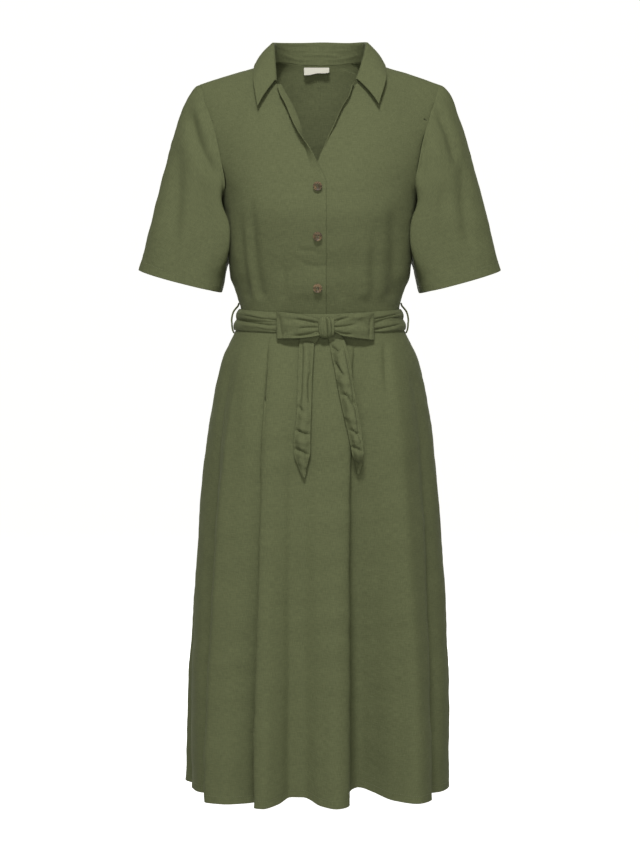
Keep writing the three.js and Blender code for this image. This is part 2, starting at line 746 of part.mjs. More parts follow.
const CARRIER_HALF_WIDTH = 2.8;
const CARRIER_THICKNESS = 2.6;
const CARRIER_TOP = 379;
const CARRIER_FOOT = 427;

// A thin carrier at the side seam: an arch over the belt, sewn down above and below it
function beltCarrier(side) {
  const foot = (CLOTH + CARRIER_THICKNESS) / 2 + 1.5 * SEAM_GAP;
  const arch = table('level stand', [CARRIER_TOP, foot], [383, 4.2], [388, 9], [393, 12.4], [399, 13.5], [406, 13],
    [413, 11], [418, 8.6], [423, 5.6], [CARRIER_FOOT, foot]);
  const line = curvesOf(arch);
  const grid = range(13).map((i) => {
    const level = lerp(CARRIER_TOP, CARRIER_FOOT, i / 12);
    return [-1, 1].map((across) => {
      const p = waistPoint((side * Math.PI) / 2, level, line.stand(level));
      return point(p.x, p.y + across * CARRIER_HALF_WIDTH, p.z);
    });
  });
  return clothWall([side < 0 ? flipped(grid) : grid], CARRIER_THICKNESS);
}

// A closed geometry as a solid that can be cut and joined
function solidOf(geometry) {
  const bare = geometry.index ? geometry.toNonIndexed() : geometry.clone();
  for (const name of ['normal', 'uv']) bare.deleteAttribute(name);
  const merged = mergeVertices(bare, 1e-4);
  return new wasm.Manifold(new wasm.Mesh({
    numProp: 3,
    vertProperties: new Float32Array(merged.getAttribute('position').array),
    triVerts: new Uint32Array(merged.index.array),
  }));
}

function geometryOf(solid) {
  const mesh = solid.getMesh();
  const geometry = new THREE.BufferGeometry();
  geometry.setAttribute('position', new THREE.Float32BufferAttribute(mesh.vertProperties, 3));
  geometry.setIndex([...mesh.triVerts]);
  geometry.computeVertexNormals();
  return geometry;
}

const BUTTON_RISE = 5.2;

// A four-hole button with a raised rim, turned a little, on its thread shank
function button(drop) {
  const profile = [[0, -1.2], [5.4, -1.2], [6.7, -0.6], [BUTTON_RADIUS, 0.3], [6.6, 1.2], [5.6, 1.4],
    [4.6, 0.7], [0, 0.6]].map(([radius, height]) => new THREE.Vector2(radius, height));
  let solid = solidOf(new THREE.LatheGeometry(profile, 20));
  for (const [x, z] of [[-1, -1], [-1, 1], [1, -1], [1, 1]]) {
    const hole = new THREE.CylinderGeometry(0.75, 0.75, 6, 6).translate(x * 1.4, 0, z * 1.4);
    solid = solid.subtract(solidOf(hole));
  }
  const disc = geometryOf(solid).rotateX(Math.PI).rotateZ(degToRad(BUTTON_TURN));
  const shankLength = BUTTON_RISE - CLOTH / 2 - 1.5 * SEAM_GAP;
  const shank = new THREE.CylinderGeometry(1.3, 1.3, shankLength, 8).translate(0, shankLength / 2, 0);
  const sewn = solidOf(disc).add(solidOf(shank));
  const seat = bodicePoint(bodiceAngle(BUTTON_X, drop), drop, OVER_LAYER);
  return geometryOf(sewn).translate(seat.x, seat.y - BUTTON_RISE, seat.z);
}

// Label: a plain flap in the back neck seam, longer at one end
function neckLabel() {
  const grid = range(7).map((i) => {
    const x = lerp(-26, 15, i / 6);
    const length = lerp(13, 8.5, i / 6);
    return range(4).map((j) => {
      const share = j / 3;
      return point(x, 78.3 - 5 * share ** 1.5, 12.5 - length * share);
    });
  });
  return clothWall([grid], 1);
}

const object = new THREE.Group();

function add(name, colour, geometry) {
  const roughness = colour === COLOURS.button ? 0.35 : 0.9;
  const mesh = new THREE.Mesh(geometry, new THREE.MeshStandardMaterial({ color: colour, roughness, metalness: 0 }));
  mesh.name = name;
  object.add(mesh);
}

add('bodice_front_right', COLOURS.cloth, bodiceFront(-1));
add('bodice_front_left', COLOURS.cloth, bodiceFront(1));
add('bodice_back', COLOURS.cloth, bodiceBack());
add('collar', COLOURS.collar, collar());
for (const [name, sizes] of Object.entries(SLEEVES)) add(name, COLOURS.cloth, sleeve(sizes));
add('skirt_front', COLOURS.cloth, skirtPanel(frontFolds, FRONT_FOLDS));
add('skirt_back', COLOURS.cloth, skirtPanel(backFolds, BACK_FOLDS));
add('belt_band', COLOURS.belt, beltBand());
add('belt_knot', COLOURS.belt, beltKnot());
for (const [name, sizes] of Object.entries(BOW_ENDS)) add(name, COLOURS.belt, bowLoopPiece(sizes));
for (const [name, sizes] of Object.entries(BELT_ENDS)) add(name, COLOURS.belt, beltEnd(sizes));
add('belt_loop_right', COLOURS.belt, beltCarrier(-1));
add('belt_loop_left', COLOURS.belt, beltCarrier(1));
for (const [name, drop] of Object.entries(BUTTON_DROPS)) add(name, COLOURS.button, button(drop));
add('neck_label', COLOURS.label, neckLabel());

export default object;
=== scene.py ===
"""Looks of a short-sleeved shirt dress with a tie belt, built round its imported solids.

Shapes are in millimetres from the neck level, with +Z up and the front facing -Y, and meshes in metres.
"""

import json
import math

import bmesh
import bpy
import numpy as np
from mathutils import Matrix

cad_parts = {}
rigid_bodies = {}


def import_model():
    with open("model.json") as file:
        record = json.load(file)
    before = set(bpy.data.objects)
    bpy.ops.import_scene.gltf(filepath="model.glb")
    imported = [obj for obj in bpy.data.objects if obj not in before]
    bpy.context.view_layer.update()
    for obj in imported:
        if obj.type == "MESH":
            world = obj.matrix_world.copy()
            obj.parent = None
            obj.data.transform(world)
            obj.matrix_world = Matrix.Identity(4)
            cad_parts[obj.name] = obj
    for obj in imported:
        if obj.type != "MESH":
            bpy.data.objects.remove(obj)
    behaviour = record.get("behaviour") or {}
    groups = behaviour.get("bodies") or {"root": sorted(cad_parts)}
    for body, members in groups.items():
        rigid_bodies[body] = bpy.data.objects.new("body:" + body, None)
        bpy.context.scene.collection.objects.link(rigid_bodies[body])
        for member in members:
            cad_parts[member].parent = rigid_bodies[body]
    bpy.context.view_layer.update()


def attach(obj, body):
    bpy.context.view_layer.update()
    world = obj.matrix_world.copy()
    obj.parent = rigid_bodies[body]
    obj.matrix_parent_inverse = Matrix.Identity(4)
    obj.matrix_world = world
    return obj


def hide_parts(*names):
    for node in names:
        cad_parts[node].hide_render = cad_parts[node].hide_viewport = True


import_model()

bl_info = {
    "name": "Shirt dress",
    "version": (1, 0, 0),
    "blender": (4, 5, 0),
    "location": "3D View > Sidebar > Dress",
    "description": "Cloth, sewing, buttons, label and studio of a shirt dress",
    "category": "Add Mesh",
}

MM = 0.001
VIEWER_LEFT = -1
VIEWER_RIGHT = 1

# Levels below the neck level
WAIST = 412
HEM = 1153
UNDERARM = 208

# Bodice: the turn back of each front in degrees with the drops where it dies away, and its layer
NECK_HALF_WIDTH = 72
SHOULDER_SLOPE = 0.33
BACK_NECK_RISE = 83
BACK_NECK_DROP = 76
FRONT_CORNER_DROP = 50
ROLL_RADIUS = 2.5
TURNS = {VIEWER_LEFT: (150, 105, 206), VIEWER_RIGHT: (110, 138, 164)}
LAYERS = {VIEWER_LEFT: 1.2, VIEWER_RIGHT: -1.7}

# Collar: start past the neck seam, half width of the roll, and how far the fall swells
COLLAR_SEAM_GAP = 1.3
COLLAR_ROLL = 2.2
COLLAR_SWELL = 2.5

# Belt, bow and carriers; the cloth within some 3 cm of UNDER_BELT stays plain
BELT_HALF_WIDTH = 16.8
BELT_NARROWING = 2.5
BELT_OVER_LAP = 1.4
BELT_LEVEL = 403.6
BELT_FRONT_DIP = 15
BELT_FOOT = BELT_LEVEL + BELT_FRONT_DIP + BELT_HALF_WIDTH
BELT_FRONT_LEVEL = 430
BELT_HALF_THICKNESS = 0.9
CLOTH_HALF_THICKNESS = 0.6
BELT_STAND = 2.5
BELT_LOBE = 2.5
KNOT_X, BOW_Y, KNOT_Z = 9, -115, -425
END_STAND = 4.5
END_STAND_AT_KNOT = 1.2
KNOT_HALF = (12.5, 8, 16)
KNOT_STAND = 2.4
KNOT_SQUARENESS = 0.8
LOOP_IN_KNOT = 5
CARRIER_TOP, CARRIER_FOOT = 379, 427
CARRIER_HALF_WIDTH = 2.8
CARRIER_THICKNESS = 2.6
UNDER_BELT = 414

# Buttons
BUTTON_RADIUS = 7
BUTTON_X = -3.7
BUTTON_RISE = 5.2
BUTTON_TURN = 24
MIDDLE_BUTTON_TURN = 60
BUTTON_DROPS = {"button_top": 215, "button_middle": 290, "button_bottom": 366}
BUTTON_THICKNESS = 2.2
BUTTON_RIM = 1.5
BUTTON_DISH_SLOPE = 0.9
BUTTON_DISH_DEPTH = 0.6
BUTTON_BACK_SLOPE = 1.2
BUTTON_BACK_RISE = 0.4
BUTTON_EDGE = 0.22
HOLE_OFFSETS = (-1.5, 1.5)

# Pitch, length and width of the stitches that hold a button
BUTTON_THREAD = (4.0, 4.0, 0.55)

# Label: its two ends, the length that hangs at each, and where its upper edge lies
LABEL_ENDS = (-26, 15)
LABEL_LENGTHS = (13, 8.5)
LABEL_Y, LABEL_Z = 78.3, 12.5
LABEL_THICKNESS = 0.9

# Hem stitches: height over the skirt's hem, share of the way down the sleeve, and rise over the cloth
HEM_STITCH_HEIGHT = 11
SLEEVE_STITCH_SHARE = 0.95
STITCH_RISE = 0.05

# Points that the outer face of each piece looks away from
FACED_FROM = {
    "bodice": (0, 0, -250),
    "sleeve": (215, 0, -220),
    "skirt": (0, 0, -780),
    "belt": (0, 0, -415),
    "carrier": (0, 0, -410),
    "belt_end": (0, 0, -540),
    "label": (0, 200, 0),
}

# Studio in metres: paper, size and place of each light, and levels of camera and aim
PAPER_SIZE, PAPER_HEIGHT, PAPER_SWEEP = 24, 14, 4
LIGHTS = {
    "key": (0.9, (-0.2, -3.3, 3.0)),
    "fill": (2.2, (0.0, -4.0, -0.9)),
    "back": (2.2, (0.0, 4.0, 0.8)),
}
BACK_LIGHT_POWER = 95
CAMERA_LEVEL = -0.577
AIM_LEVEL = -0.6


def table(columns, *rows):
    """Rows of numbers under named columns."""
    return {name: np.array(values, float) for name, values in zip(columns.split(), zip(*rows))}


# Torso rings by drop: half width, and depth of the front and back halves
BODICE = table(
    "drop front back halfWidth",
    (0, 0, 0, 200), (6, 15, 20, 199), (16, 29, 34, 198), (32, 44, 52, 198), (60, 63, 72, 194),
    (100, 86, 86, 186), (150, 108, 96, 174), (205, 128, 98, 157), (250, 136, 96, 151),
    (300, 128, 92, 147), (336, 119, 90, 142.5), (352, 116, 89, 136), (372, 111, 88, 129.5),
    (390, 105, 86.5, 126), (412, 98, 86, 129.5),
)

# Armhole edge: angle round the torso ring on the front and on the back
ARMHOLE = table(
    "drop front back",
    (0, 68, 112), (6, 66, 113.5), (24, 62.8, 116.5), (62, 58.5, 120), (118, 56.5, 122.5),
    (165, 58.5, 121), (192, 63, 117), (203, 74, 106), (208, 90, 90),
)

# Angle that the columns of points keep to away from the armhole
COLUMN_ANGLE = table(
    "drop front back",
    (0, 68, 112), (60, 62, 118), (120, 62, 119), (208, 78, 104), (300, 90, 90),
)

# Where each front turns back, from the shoulder to the meeting point
FRONT_EDGES = {
    VIEWER_LEFT: table(
        "drop x",
        (0, -74), (20, -73), (42, -70), (50, -63), (64, -56), (79, -48), (96, -40.5), (117, -33),
        (140, -27.5), (158, -23), (182, -15.5), (206, -3),
    ),
    VIEWER_RIGHT: table(
        "drop x",
        (0, 74), (20, 70), (42, 60), (54, 51), (72, 45.5), (90, 35), (120, 22.5), (150, 10), (182, -3),
    ),
}

# Width of the strip past that line
STRIPS = {
    VIEWER_LEFT: table("drop width", (50, 13), (76, 18), (110, 18), (182, 12.5), (206, 12)),
    VIEWER_RIGHT: table("drop width", (50, 12), (110, 10), (150, 3), (182, 3), (206, 12)),
}
BACK_NECK = table(
    "share x drop", (0, 0, 76), (0.35, 30, 71), (0.6, 50, 58), (0.8, 64, 40), (0.92, 71, 22), (1, 74, 0)
)

# Collar: top of the roll, then outer edge
COLLAR = table(
    "along rollX rollY rollZ edgeX edgeY edgeZ",
    (-1, -70, -53, -32, -97, -83, -78), (-0.8, -74, -28, 8, -105, -43, -24),
    (-0.6, -76, 5, 37, -103, 4, 4), (-0.4, -73, 42, 46, -91, 55, 9), (-0.2, -46, 72, 51.5, -57, 89, 3),
    (0, 0, 83, 54, 0, 97, 1), (0.2, 46, 72, 51.5, 57, 89, 3), (0.4, 73, 42, 46, 91, 55, 9),
    (0.6, 76, 5, 37, 103, 4, 4), (0.8, 70, -28, 8, 104, -43, -24), (1, 58, -52, -30, 91.5, -81, -74),
)

# Sleeve hems: the ends of the longer axis at the outer and underarm sides
SLEEVES = {
    "sleeve_right": (VIEWER_LEFT, (-288, -8, -327), (-157, -8, -361)),
    "sleeve_left": (VIEWER_RIGHT, (288, -8, -327), (159, -8, -362)),
}
SLEEVE_SETBACK = 0.5
SLEEVE_HALF_DEPTH = 60
SLEEVE_SQUARENESS = 0.55
SLEEVE_FRONT_DIP = 8

# Skirt rings by level: half width, and depth of the front and back halves
SKIRT = table(
    "level halfWidth front back",
    (412, 129.5, 98, 86), (430, 137, 101.5, 91), (446, 145, 107, 98), (467, 153.6, 116, 108.5),
    (515, 166, 130, 126), (563, 176, 139, 135), (611, 182.5, 142, 139), (707, 191, 142, 141),
    (803, 197.6, 140, 140), (900, 201.6, 137, 139), (995, 205.6, 134, 138), (1153, 205.6, 132, 138),
)

# Skirt folds: angle at the waist and at the hem, reach outward and lift at the hem
FRONT_FOLDS = table(
    "waist hem reach lift",
    (-90, -90, 0, 0), (-72, -70, -8, 0), (-60, -58, -30, 0), (-54, -51.5, 4, 0), (-49, -46, 34, 0),
    (-43, -39, 32, 0), (-37, -32, 16, 0), (-33.6, -26.6, -3, 0), (-32.4, -25, 43, 0), (-28, -21.5, 47, 0),
    (-20, -16, 30, 5), (-14, -12, 12, 12), (-8, -6.8, 13, 12), (0, 0, 32, 3), (9, 6.5, 42, 0),
    (21.2, 11.8, 28, 2), (23.2, 13.2, -26, 10), (27, 18, -40, 16), (32, 24, -28, 11), (38, 32, 4, 2),
    (46, 40, 30, 0), (53, 48, 18, 0), (63, 59, -22, 0), (74, 72, -8, 0), (90, 90, 0, 0),
)
BACK_FOLDS = table(
    "waist hem reach lift",
    (90, 90, 0, 0), (102, 102, -4, 0), (116, 119, 26, 0), (127, 129, -14, 0), (136, 139, 20, 0),
    (149, 151, -30, 0), (160, 165, 34, 0), (174, 176, -8, 0), (186, 188, 12, 0), (201, 202, -34, 0),
    (215, 213, 30, 0), (224, 226, 4, 0), (233, 236, -20, 0), (247, 248, 24, 0), (259, 260, -2, 0),
    (270, 270, 0, 0),
)
FOLD_SETTLE = 6

# Belt ends: depth of the cup, sideways move of the tip, then middle and width from the knot down
BELT_ENDS = {
    "belt_end_right": (
        7,
        -2,
        table(
            "level x width",
            (428, -3, 11), (436, -12, 16), (446, -19.5, 22), (470, -21.5, 22), (506, -23, 21),
            (558, -24.5, 21), (600, -27, 24), (616, -27, 24), (636, -25, 13), (654, -22, 3),
        ),
    ),
    "belt_end_left": (
        9,
        2,
        table(
            "level x width",
            (427, 15, 11), (438, 22, 17), (452, 27, 23), (484, 34, 24), (527, 41, 22), (558, 47, 21),
            (588, 53, 19), (616, 57, 17), (634, 57.5, 10), (649, 56, 3),
        ),
    ),
}

# Bow loops: share of the reach from the knot, height in front of the belt, and half width, along the ribbon
BOW_LOOP = table(
    "step reach stand halfWidth",
    (0, 0, 9, 9.5), (1, 0.3, 6.8, 16), (2, 0.65, 4.4, 18.8), (3, 0.92, 4, 20), (4, 1, 7.2, 20.5),
    (5, 0.93, 11.2, 20), (6, 0.65, 14.5, 18.8), (7, 0.3, 15, 16), (8, 0, 13, 9.5),
)

# Each loop's far end, its rise at the knot and at the far end, and how much wider it is at the knot
BOW_ENDS = {"bow_loop_right": (-66, -0.5, 4, 1.5), "bow_loop_left": (83, 4, 2, -1.5)}

# Unevenness of the cloth: height, length of the waves, and their stretch along x, y and z
UNEVENNESS = (
    (0.75, 95, (1, 1, 1.7)),
    (0.3, 38, (1.5, 1.5, 1)),
    (0.11, 15, (1.4, 1.4, 0.9)),
)

# Creases as lines seen from the front or back: sideways bow, depth outward, width and tilt of its two sides
CREASE_COLUMNS = "x0 z0 x1 z1 bow depth width tilt"
UPPER_FRONT_CREASES = table(
    CREASE_COLUMNS,
    (-106, -232, -84, -404, 9, -5.2, 9, 1.4), (-122, -244, -106, -404, 5, -3.8, 7, -1.0),
    (-114, -262, -96, -400, 6, 1.6, 6, 0), (114, -236, 106, -404, -9, -6.0, 12, -1.6),
    (68, -300, 68, -404, 0, 2.4, 8, 0), (84, -270, 82, -404, 1, -2.2, 8, 0.6),
    (-57, -322, -56, -404, 0, -2.2, 6, 0.4), (-34, -307, -3, -313, -2, -1.6, 3.2, 0.5),
    (-30, -324, 2, -331, 2, -1.4, 3.2, -0.5), (30, -330, 34, -404, 0, -1.6, 6, 0),
    (-206, -74, -156, -190, 9, -7.6, 10, -2.2), (-196, -60, -176, -118, 4, 2.0, 8, 0),
    (-231, -120, -234, -310, -5, -5.2, 12, 1.6), (-250, -150, -264, -316, 3, 2.0, 11, 0),
    (-186, -190, -198, -336, -3, -4.2, 10, 1.4), (182, -70, 214, -168, -5, -7.0, 9, 2.2),
    (172, -112, 158, -200, 3, -3.4, 8, 0.8), (230, -140, 238, -316, 5, -4.8, 12, -1.6),
    (256, -170, 268, -320, -3, 2.0, 10, 0), (194, -200, 204, -340, 3, -4.2, 9, -1.4),
)
UPPER_BACK_CREASES = table(
    CREASE_COLUMNS,
    (-96, -240, -84, -400, 7, -2.6, 10, 0.8), (-120, -262, -108, -400, -5, -1.8, 7, -0.6),
    (104, -236, 92, -400, -6, -2.9, 11, -0.8), (52, -300, 46, -404, 3, -1.6, 8, 0.4),
    (-40, -318, -38, -404, -2, -1.4, 8, 0), (6, -290, 4, -404, 2, 1.4, 12, 0),
    (-200, -84, -158, -190, 8, -2.8, 10, -0.8), (190, -78, 166, -196, -7, -2.6, 10, 0.8),
    (-236, -150, -240, -305, -4, -1.6, 12, 0.5), (238, -140, 246, -300, 4, -1.8, 13, -0.5),
    (-120, -96, 110, -88, 14, -0.9, 16, 0),
)
SKIRT_FRONT_CREASES = table(
    CREASE_COLUMNS,
    (-81, -436, -90, -690, 2, -1.6, 3.5, 1.2), (-66, -438, -70, -560, 2, 1.0, 8, 0),
    (56, -436, 49, -640, 1, -1.8, 3.5, -1.2), (70, -438, 66, -600, 0, -1.2, 9, 0),
    (100, -434, 103, -530, 1, -3.2, 5, 1.0), (113, -440, 122, -600, 2, 1.4, 10, 0),
    (-137, -470, -142, -900, -6, -2.6, 15, 0.8), (-170, -520, -176, -1040, 5, -2.2, 12, -0.6),
    (158, -490, 168, -1000, 6, -2.8, 15, -0.8), (136, -560, 142, -880, -4, -1.4, 13, 0),
    (-34, -460, -30, -600, -2, -1.2, 9, 0.4), (10, -500, 6, -760, 3, -1.0, 14, 0),
    (-20, -640, -16, -900, -3, 1.2, 14, 0),
)
SKIRT_BACK_CREASES = table(
    CREASE_COLUMNS,
    (-84, -430, -92, -660, 2, -2.4, 5, 1.2), (-30, -430, -34, -620, -2, -2.0, 5, -1.0),
    (26, -430, 30, -700, 2, -2.4, 5, 1.0), (78, -430, 88, -600, -2, -2.2, 5, -1.2),
    (-140, -480, -150, -920, 6, -2.6, 15, 0.8), (148, -500, 156, -960, -6, -2.4, 14, -0.8),
    (0, -560, -4, -820, 3, 1.2, 14, 0),
)
BELT_CREASES = table(
    CREASE_COLUMNS,
    (-134, -407, -58, -421, 2, -3.5, 2.0, 0.6), (-134, -397, -80, -411, -1, 1.9, 2.2, 0),
    (-120, -402, -60, -414, 1, -1.5, 1.4, 0.4), (-126, -416, -66, -431, -1, 1.6, 2.4, 0),
    (-104, -421, -60, -430, 1, -1.4, 1.6, -0.4), (74, -420, 134, -404, -2, -3.5, 2.0, -0.6),
    (78, -412, 128, -398, 1, -2.3, 1.6, 0.4), (76, -429, 130, -415, 1, -2.6, 1.8, 0.4),
    (80, -416, 120, -407, 0, 1.8, 1.8, 0), (80, -433, 124, -422, 0, 1.5, 1.8, 0),
)
BELT_BACK_CREASES = table(
    CREASE_COLUMNS,
    (-130, -405, -10, -407, 2, -2.2, 2.0, 0.5), (-96, -398, 30, -399, -1, -1.2, 1.6, 0.4),
    (14, -405, 130, -405, -2, -2.4, 2.0, -0.5), (40, -414, 126, -415, 1, -1.3, 1.6, 0),
    (-110, -415, -20, -416, 1, 1.1, 2.2, 0),
)
BOW_CREASES = table(
    CREASE_COLUMNS,
    (2, -420, -40, -412, 1, -3.5, 2.2, 0.7), (0, -426, -34, -427, 1, -2.4, 2.0, -0.5),
    (2, -432, -44, -439, -1, -3.8, 2.6, -0.7), (-6, -415, -58, -406, 0, 2.0, 4, 0),
    (-20, -424, -62, -419, 1, 1.6, 6, 0), (-64, -404, -60, -444, -1, -1.9, 3, 0.4),
    (-50, -430, -64, -441, 0, -1.6, 3.4, 0), (16, -420, 46, -410, -2, -4.1, 2.4, -0.8),
    (18, -425, 56, -420, 1, -2.6, 2.0, 0.5), (16, -431, 50, -436, 1, -3.8, 2.4, 0.7),
    (26, -413, 78, -406, 0, 1.9, 3.6, 0), (40, -428, 80, -431, -1, 1.8, 6, 0),
    (80, -406, 77, -444, 1, -2.2, 2.6, -0.4), (60, -412, 76, -424, 0, -1.5, 3.4, 0),
)
KNOT_CREASES = table(
    CREASE_COLUMNS,
    (0, -408, -1, -442, 3, -3.2, 1.5, 0.6), (5, -408, 6, -442, 2, 1.5, 1.8, 0),
    (9, -408, 12, -442, -1, -3.5, 1.4, -0.6), (15, -408, 17, -442, -2, -2.5, 1.5, 0.5),
    (13, -410, 14, -440, -2, 1.2, 1.4, 0),
)
END_CREASES = table(
    CREASE_COLUMNS,
    (-28, -440, -31, -548, 0, -4.2, 2.8, 0.4), (-21, -452, -22, -534, -1, 1.9, 3.4, 0),
    (-17, -496, -15, -544, 1, -3.5, 3.4, 0.5), (-36, -544, -24, -557, 1, -2.8, 3.4, 0.5),
    (-30, -560, -17, -572, -1, 1.6, 4.5, 0), (-38, -582, -14, -590, 1, -4.8, 2.8, 1.0),
    (-37, -597, -16, -604, 0, 2.2, 4.4, 0), (-40, -610, -16, -621, -1, -4.8, 3.0, -1.0),
    (-32, -628, -20, -640, 0, 1.5, 4, 0), (14, -452, 30, -462, 1, -4.5, 3.6, 0.6),
    (37, -452, 61, -604, -2, -3.5, 2.2, 0.8), (22, -478, 37, -501, 2, -4.2, 3.0, 0.9),
    (28, -506, 46, -516, 0, 2.2, 4.6, 0), (33, -527, 55, -547, -2, -5.5, 3.6, 1.0),
    (38, -560, 58, -570, 0, 2.2, 4.4, 0), (45, -581, 61, -590, 1, -4.2, 2.6, 0.8),
    (50, -596, 62, -601, 0, 1.6, 3.4, 0), (47, -607, 65, -616, -1, -4.2, 2.8, -0.8),
    (51, -628, 61, -640, 0, -3.2, 3.0, 0.5),
)
COLLAR_CREASES = table(
    CREASE_COLUMNS,
    (-78, 39.5, 78, 39.5, 0, -0.7, 0.9, 0), (-62, 31, -8, 24, 3, -1.5, 2.2, 0.5),
    (-30, 33, 40, 29, -3, -1.3, 2.0, -0.5), (6, 25, 66, 30, 2, -1.5, 2.2, 0.5),
    (-50, 19, 0, 21, -2, 1.0, 2.6, 0), (20, 20, 60, 22, 2, 1.0, 2.4, 0),
    (-70, 46, -10, 48, 1, 0.7, 2.6, 0),
)


def smooth_curve(at, values):
    """A smooth curve through the values that never swings past them."""
    rise = np.diff(values) / np.diff(at)
    product = rise[:-1] * rise[1:]
    total = np.where(product > 0, rise[:-1] + rise[1:], 1)
    slopes = np.concatenate([rise[:1], np.where(product > 0, 2 * product / total, 0), rise[-1:]])

    def curve(position):
        place = np.clip(position, at[0], at[-1])
        i = np.clip(np.searchsorted(at, place, side="right") - 1, 0, len(at) - 2)
        step = at[i + 1] - at[i]
        u = (place - at[i]) / step
        v = 1 - u
        ends = values[i] * v * v * (1 + 2 * u) + values[i + 1] * u * u * (3 - 2 * u)
        return ends + step * u * v * (slopes[i] * v - slopes[i + 1] * u)

    return curve


def curves_of(rows):
    """One curve for each column of a table, along its first column."""
    along, *names = rows
    return {name: smooth_curve(rows[along], rows[name]) for name in names}


def fold_curves(rows):
    """The curves of a fold table along its own row numbers."""
    return curves_of({"place": np.arange(len(rows["waist"]), dtype=float), **rows})


def lerp(a, b, share):
    return a + (b - a) * share


def smoothstep(value, start, end):
    share = np.clip((value - start) / (end - start), 0, 1)
    return share * share * (3 - 2 * share)


def signed_power(value, power):
    return np.sign(value) * np.abs(value) ** power


def unit(vectors):
    return vectors / np.maximum(np.linalg.norm(vectors, axis=-1, keepdims=True), 1e-9)


def point(x, y, z):
    return np.stack(np.broadcast_arrays(x, y, z), axis=-1).astype(float)


bodice = curves_of(BODICE)
armhole = curves_of(ARMHOLE)
column_angle = curves_of(COLUMN_ANGLE)
front_edges = {side: curves_of(rows)["x"] for side, rows in FRONT_EDGES.items()}
strips = {side: curves_of(rows)["width"] for side, rows in STRIPS.items()}
back_neck = curves_of(BACK_NECK)
collar_line = curves_of(COLLAR)
skirt = curves_of(SKIRT)
front_folds = fold_curves(FRONT_FOLDS)
back_folds = fold_curves(BACK_FOLDS)
bow_loop = curves_of(BOW_LOOP)


def ring_point(angle, half_width, front, back, power, centre_y, out):
    """A point of a rounded-box ring in plan, moved out from it."""
    across, toward = np.sin(angle), np.cos(angle)
    depth = np.maximum(np.where(toward > 0, front, back), 0.01)
    size = (np.abs(across) ** power + np.abs(toward) ** power) ** (-1 / power)
    x, y = across * size, -toward * size
    out_x = signed_power(x, power - 1) / half_width
    out_y = signed_power(y, power - 1) / depth
    length = np.hypot(out_x, out_y)
    return x * half_width + out * out_x / length, y * depth + centre_y + out * out_y / length


def angle_at(x, half_width, power):
    """The angle at which a ring has this sideways distance, on its front half."""
    share = np.minimum(np.abs(x) / half_width, 1)
    return np.sign(x) * np.arctan2(share, (1 - share**power) ** (1 / power))


def ring_power(drop):
    return lerp(2.5, 2.35, np.minimum(drop / WAIST, 1))


def shoulder_line(x):
    past = np.abs(x) - NECK_HALF_WIDTH
    return 10 - SHOULDER_SLOPE * (past + np.hypot(past, 20)) / 2


def back_rise(x, drop):
    """How far the back is carried up behind the neck."""
    across = np.maximum(0, 1 - (x / 150) ** 2)
    start = np.sqrt(smoothstep(drop, 0, BACK_NECK_DROP))
    return BACK_NECK_RISE * across * start * (1 - smoothstep(drop, BACK_NECK_DROP, 290))


def bodice_point(angle, drop, out=0.0):
    angle, drop = np.broadcast_arrays(angle, drop)
    centre_y = 6 * (1 - smoothstep(drop, 0, 120))
    sizes = [bodice[name](drop) for name in ("halfWidth", "front", "back")]
    x, y = ring_point(angle, *sizes, ring_power(drop), centre_y, out)
    share = drop / WAIST
    rise = np.where(np.cos(angle) < 0, back_rise(x, drop), 0)
    return point(x, y, shoulder_line(x) * (1 - share) - WAIST * share + rise)


def bodice_angle(x, drop):
    return angle_at(x, bodice["halfWidth"](drop), ring_power(drop))


def side_angle(half, drop):
    """The angle of the armhole or side seam on the front or back."""
    return np.radians(np.where(drop < UNDERARM, armhole[half](drop), 90))


def panel_angle(half, share, drop):
    return lerp(np.radians(column_angle[half](drop)), side_angle(half, drop), share**5)


def front_point(side, share, drop):
    """A point of a front: share 0 is the line where it turns or laps, 1 the armhole or side seam."""
    edge = bodice_angle(front_edges[side](drop), drop)
    angle = lerp(edge, side * panel_angle("front", share, drop), share**1.2)
    x = bodice["halfWidth"](drop) * np.sin(angle)
    lapped = (1 - smoothstep(np.abs(x), 14, 34)) * smoothstep(drop, 110, 185)
    return bodice_point(angle, drop, lapped * LAYERS[side])


def lap_points(side, drops, shares):
    """The strip past that line: flat where the fronts lap, rolled outward above."""
    edge = front_point(side, 0.0, drops)
    line = unit(front_point(side, 0.0, drops + 2) - front_point(side, 0.0, drops - 2))
    across = edge - front_point(side, 0.02, drops)
    across = unit(across - (across * line).sum(-1, keepdims=True) * line)
    outward = np.cross(across, line)
    outward *= np.sign((outward[:, :2] * edge[:, :2]).sum(-1))[:, None]
    full, start, end = TURNS[side]
    turn = (np.radians(full) * (1 - smoothstep(drops, start, end)))[:, None]
    steps = strips[side](drops)[:, None] * shares
    bent = np.minimum(steps / ROLL_RADIUS, turn)
    straight = steps - bent * ROLL_RADIUS
    forward = ROLL_RADIUS * np.sin(bent) + straight * np.cos(turn)
    up = ROLL_RADIUS * (1 - np.cos(bent)) + straight * np.sin(turn)
    return edge[:, None] + across[:, None] * forward[..., None] + outward[:, None] * up[..., None]


def spread(count, edge):
    """Shares from 0 to 1 with an extra close one at each end."""
    return np.unique(np.concatenate([np.linspace(0, 1, count), [edge, 1 - edge]]))


BODICE_DROPS = np.unique(
    np.concatenate(
        [
            FRONT_CORNER_DROP * np.linspace(0, 1, 20) ** 1.5,
            np.linspace(FRONT_CORNER_DROP, 200, 48),
            [0.5, 75.5, 201.5, 203, 204.2, 205.2, 206, 206.6, 207.2, 207.6, 208],
            np.linspace(UNDERARM, WAIST, 66),
            [WAIST - 0.8],
        ]
    )
)


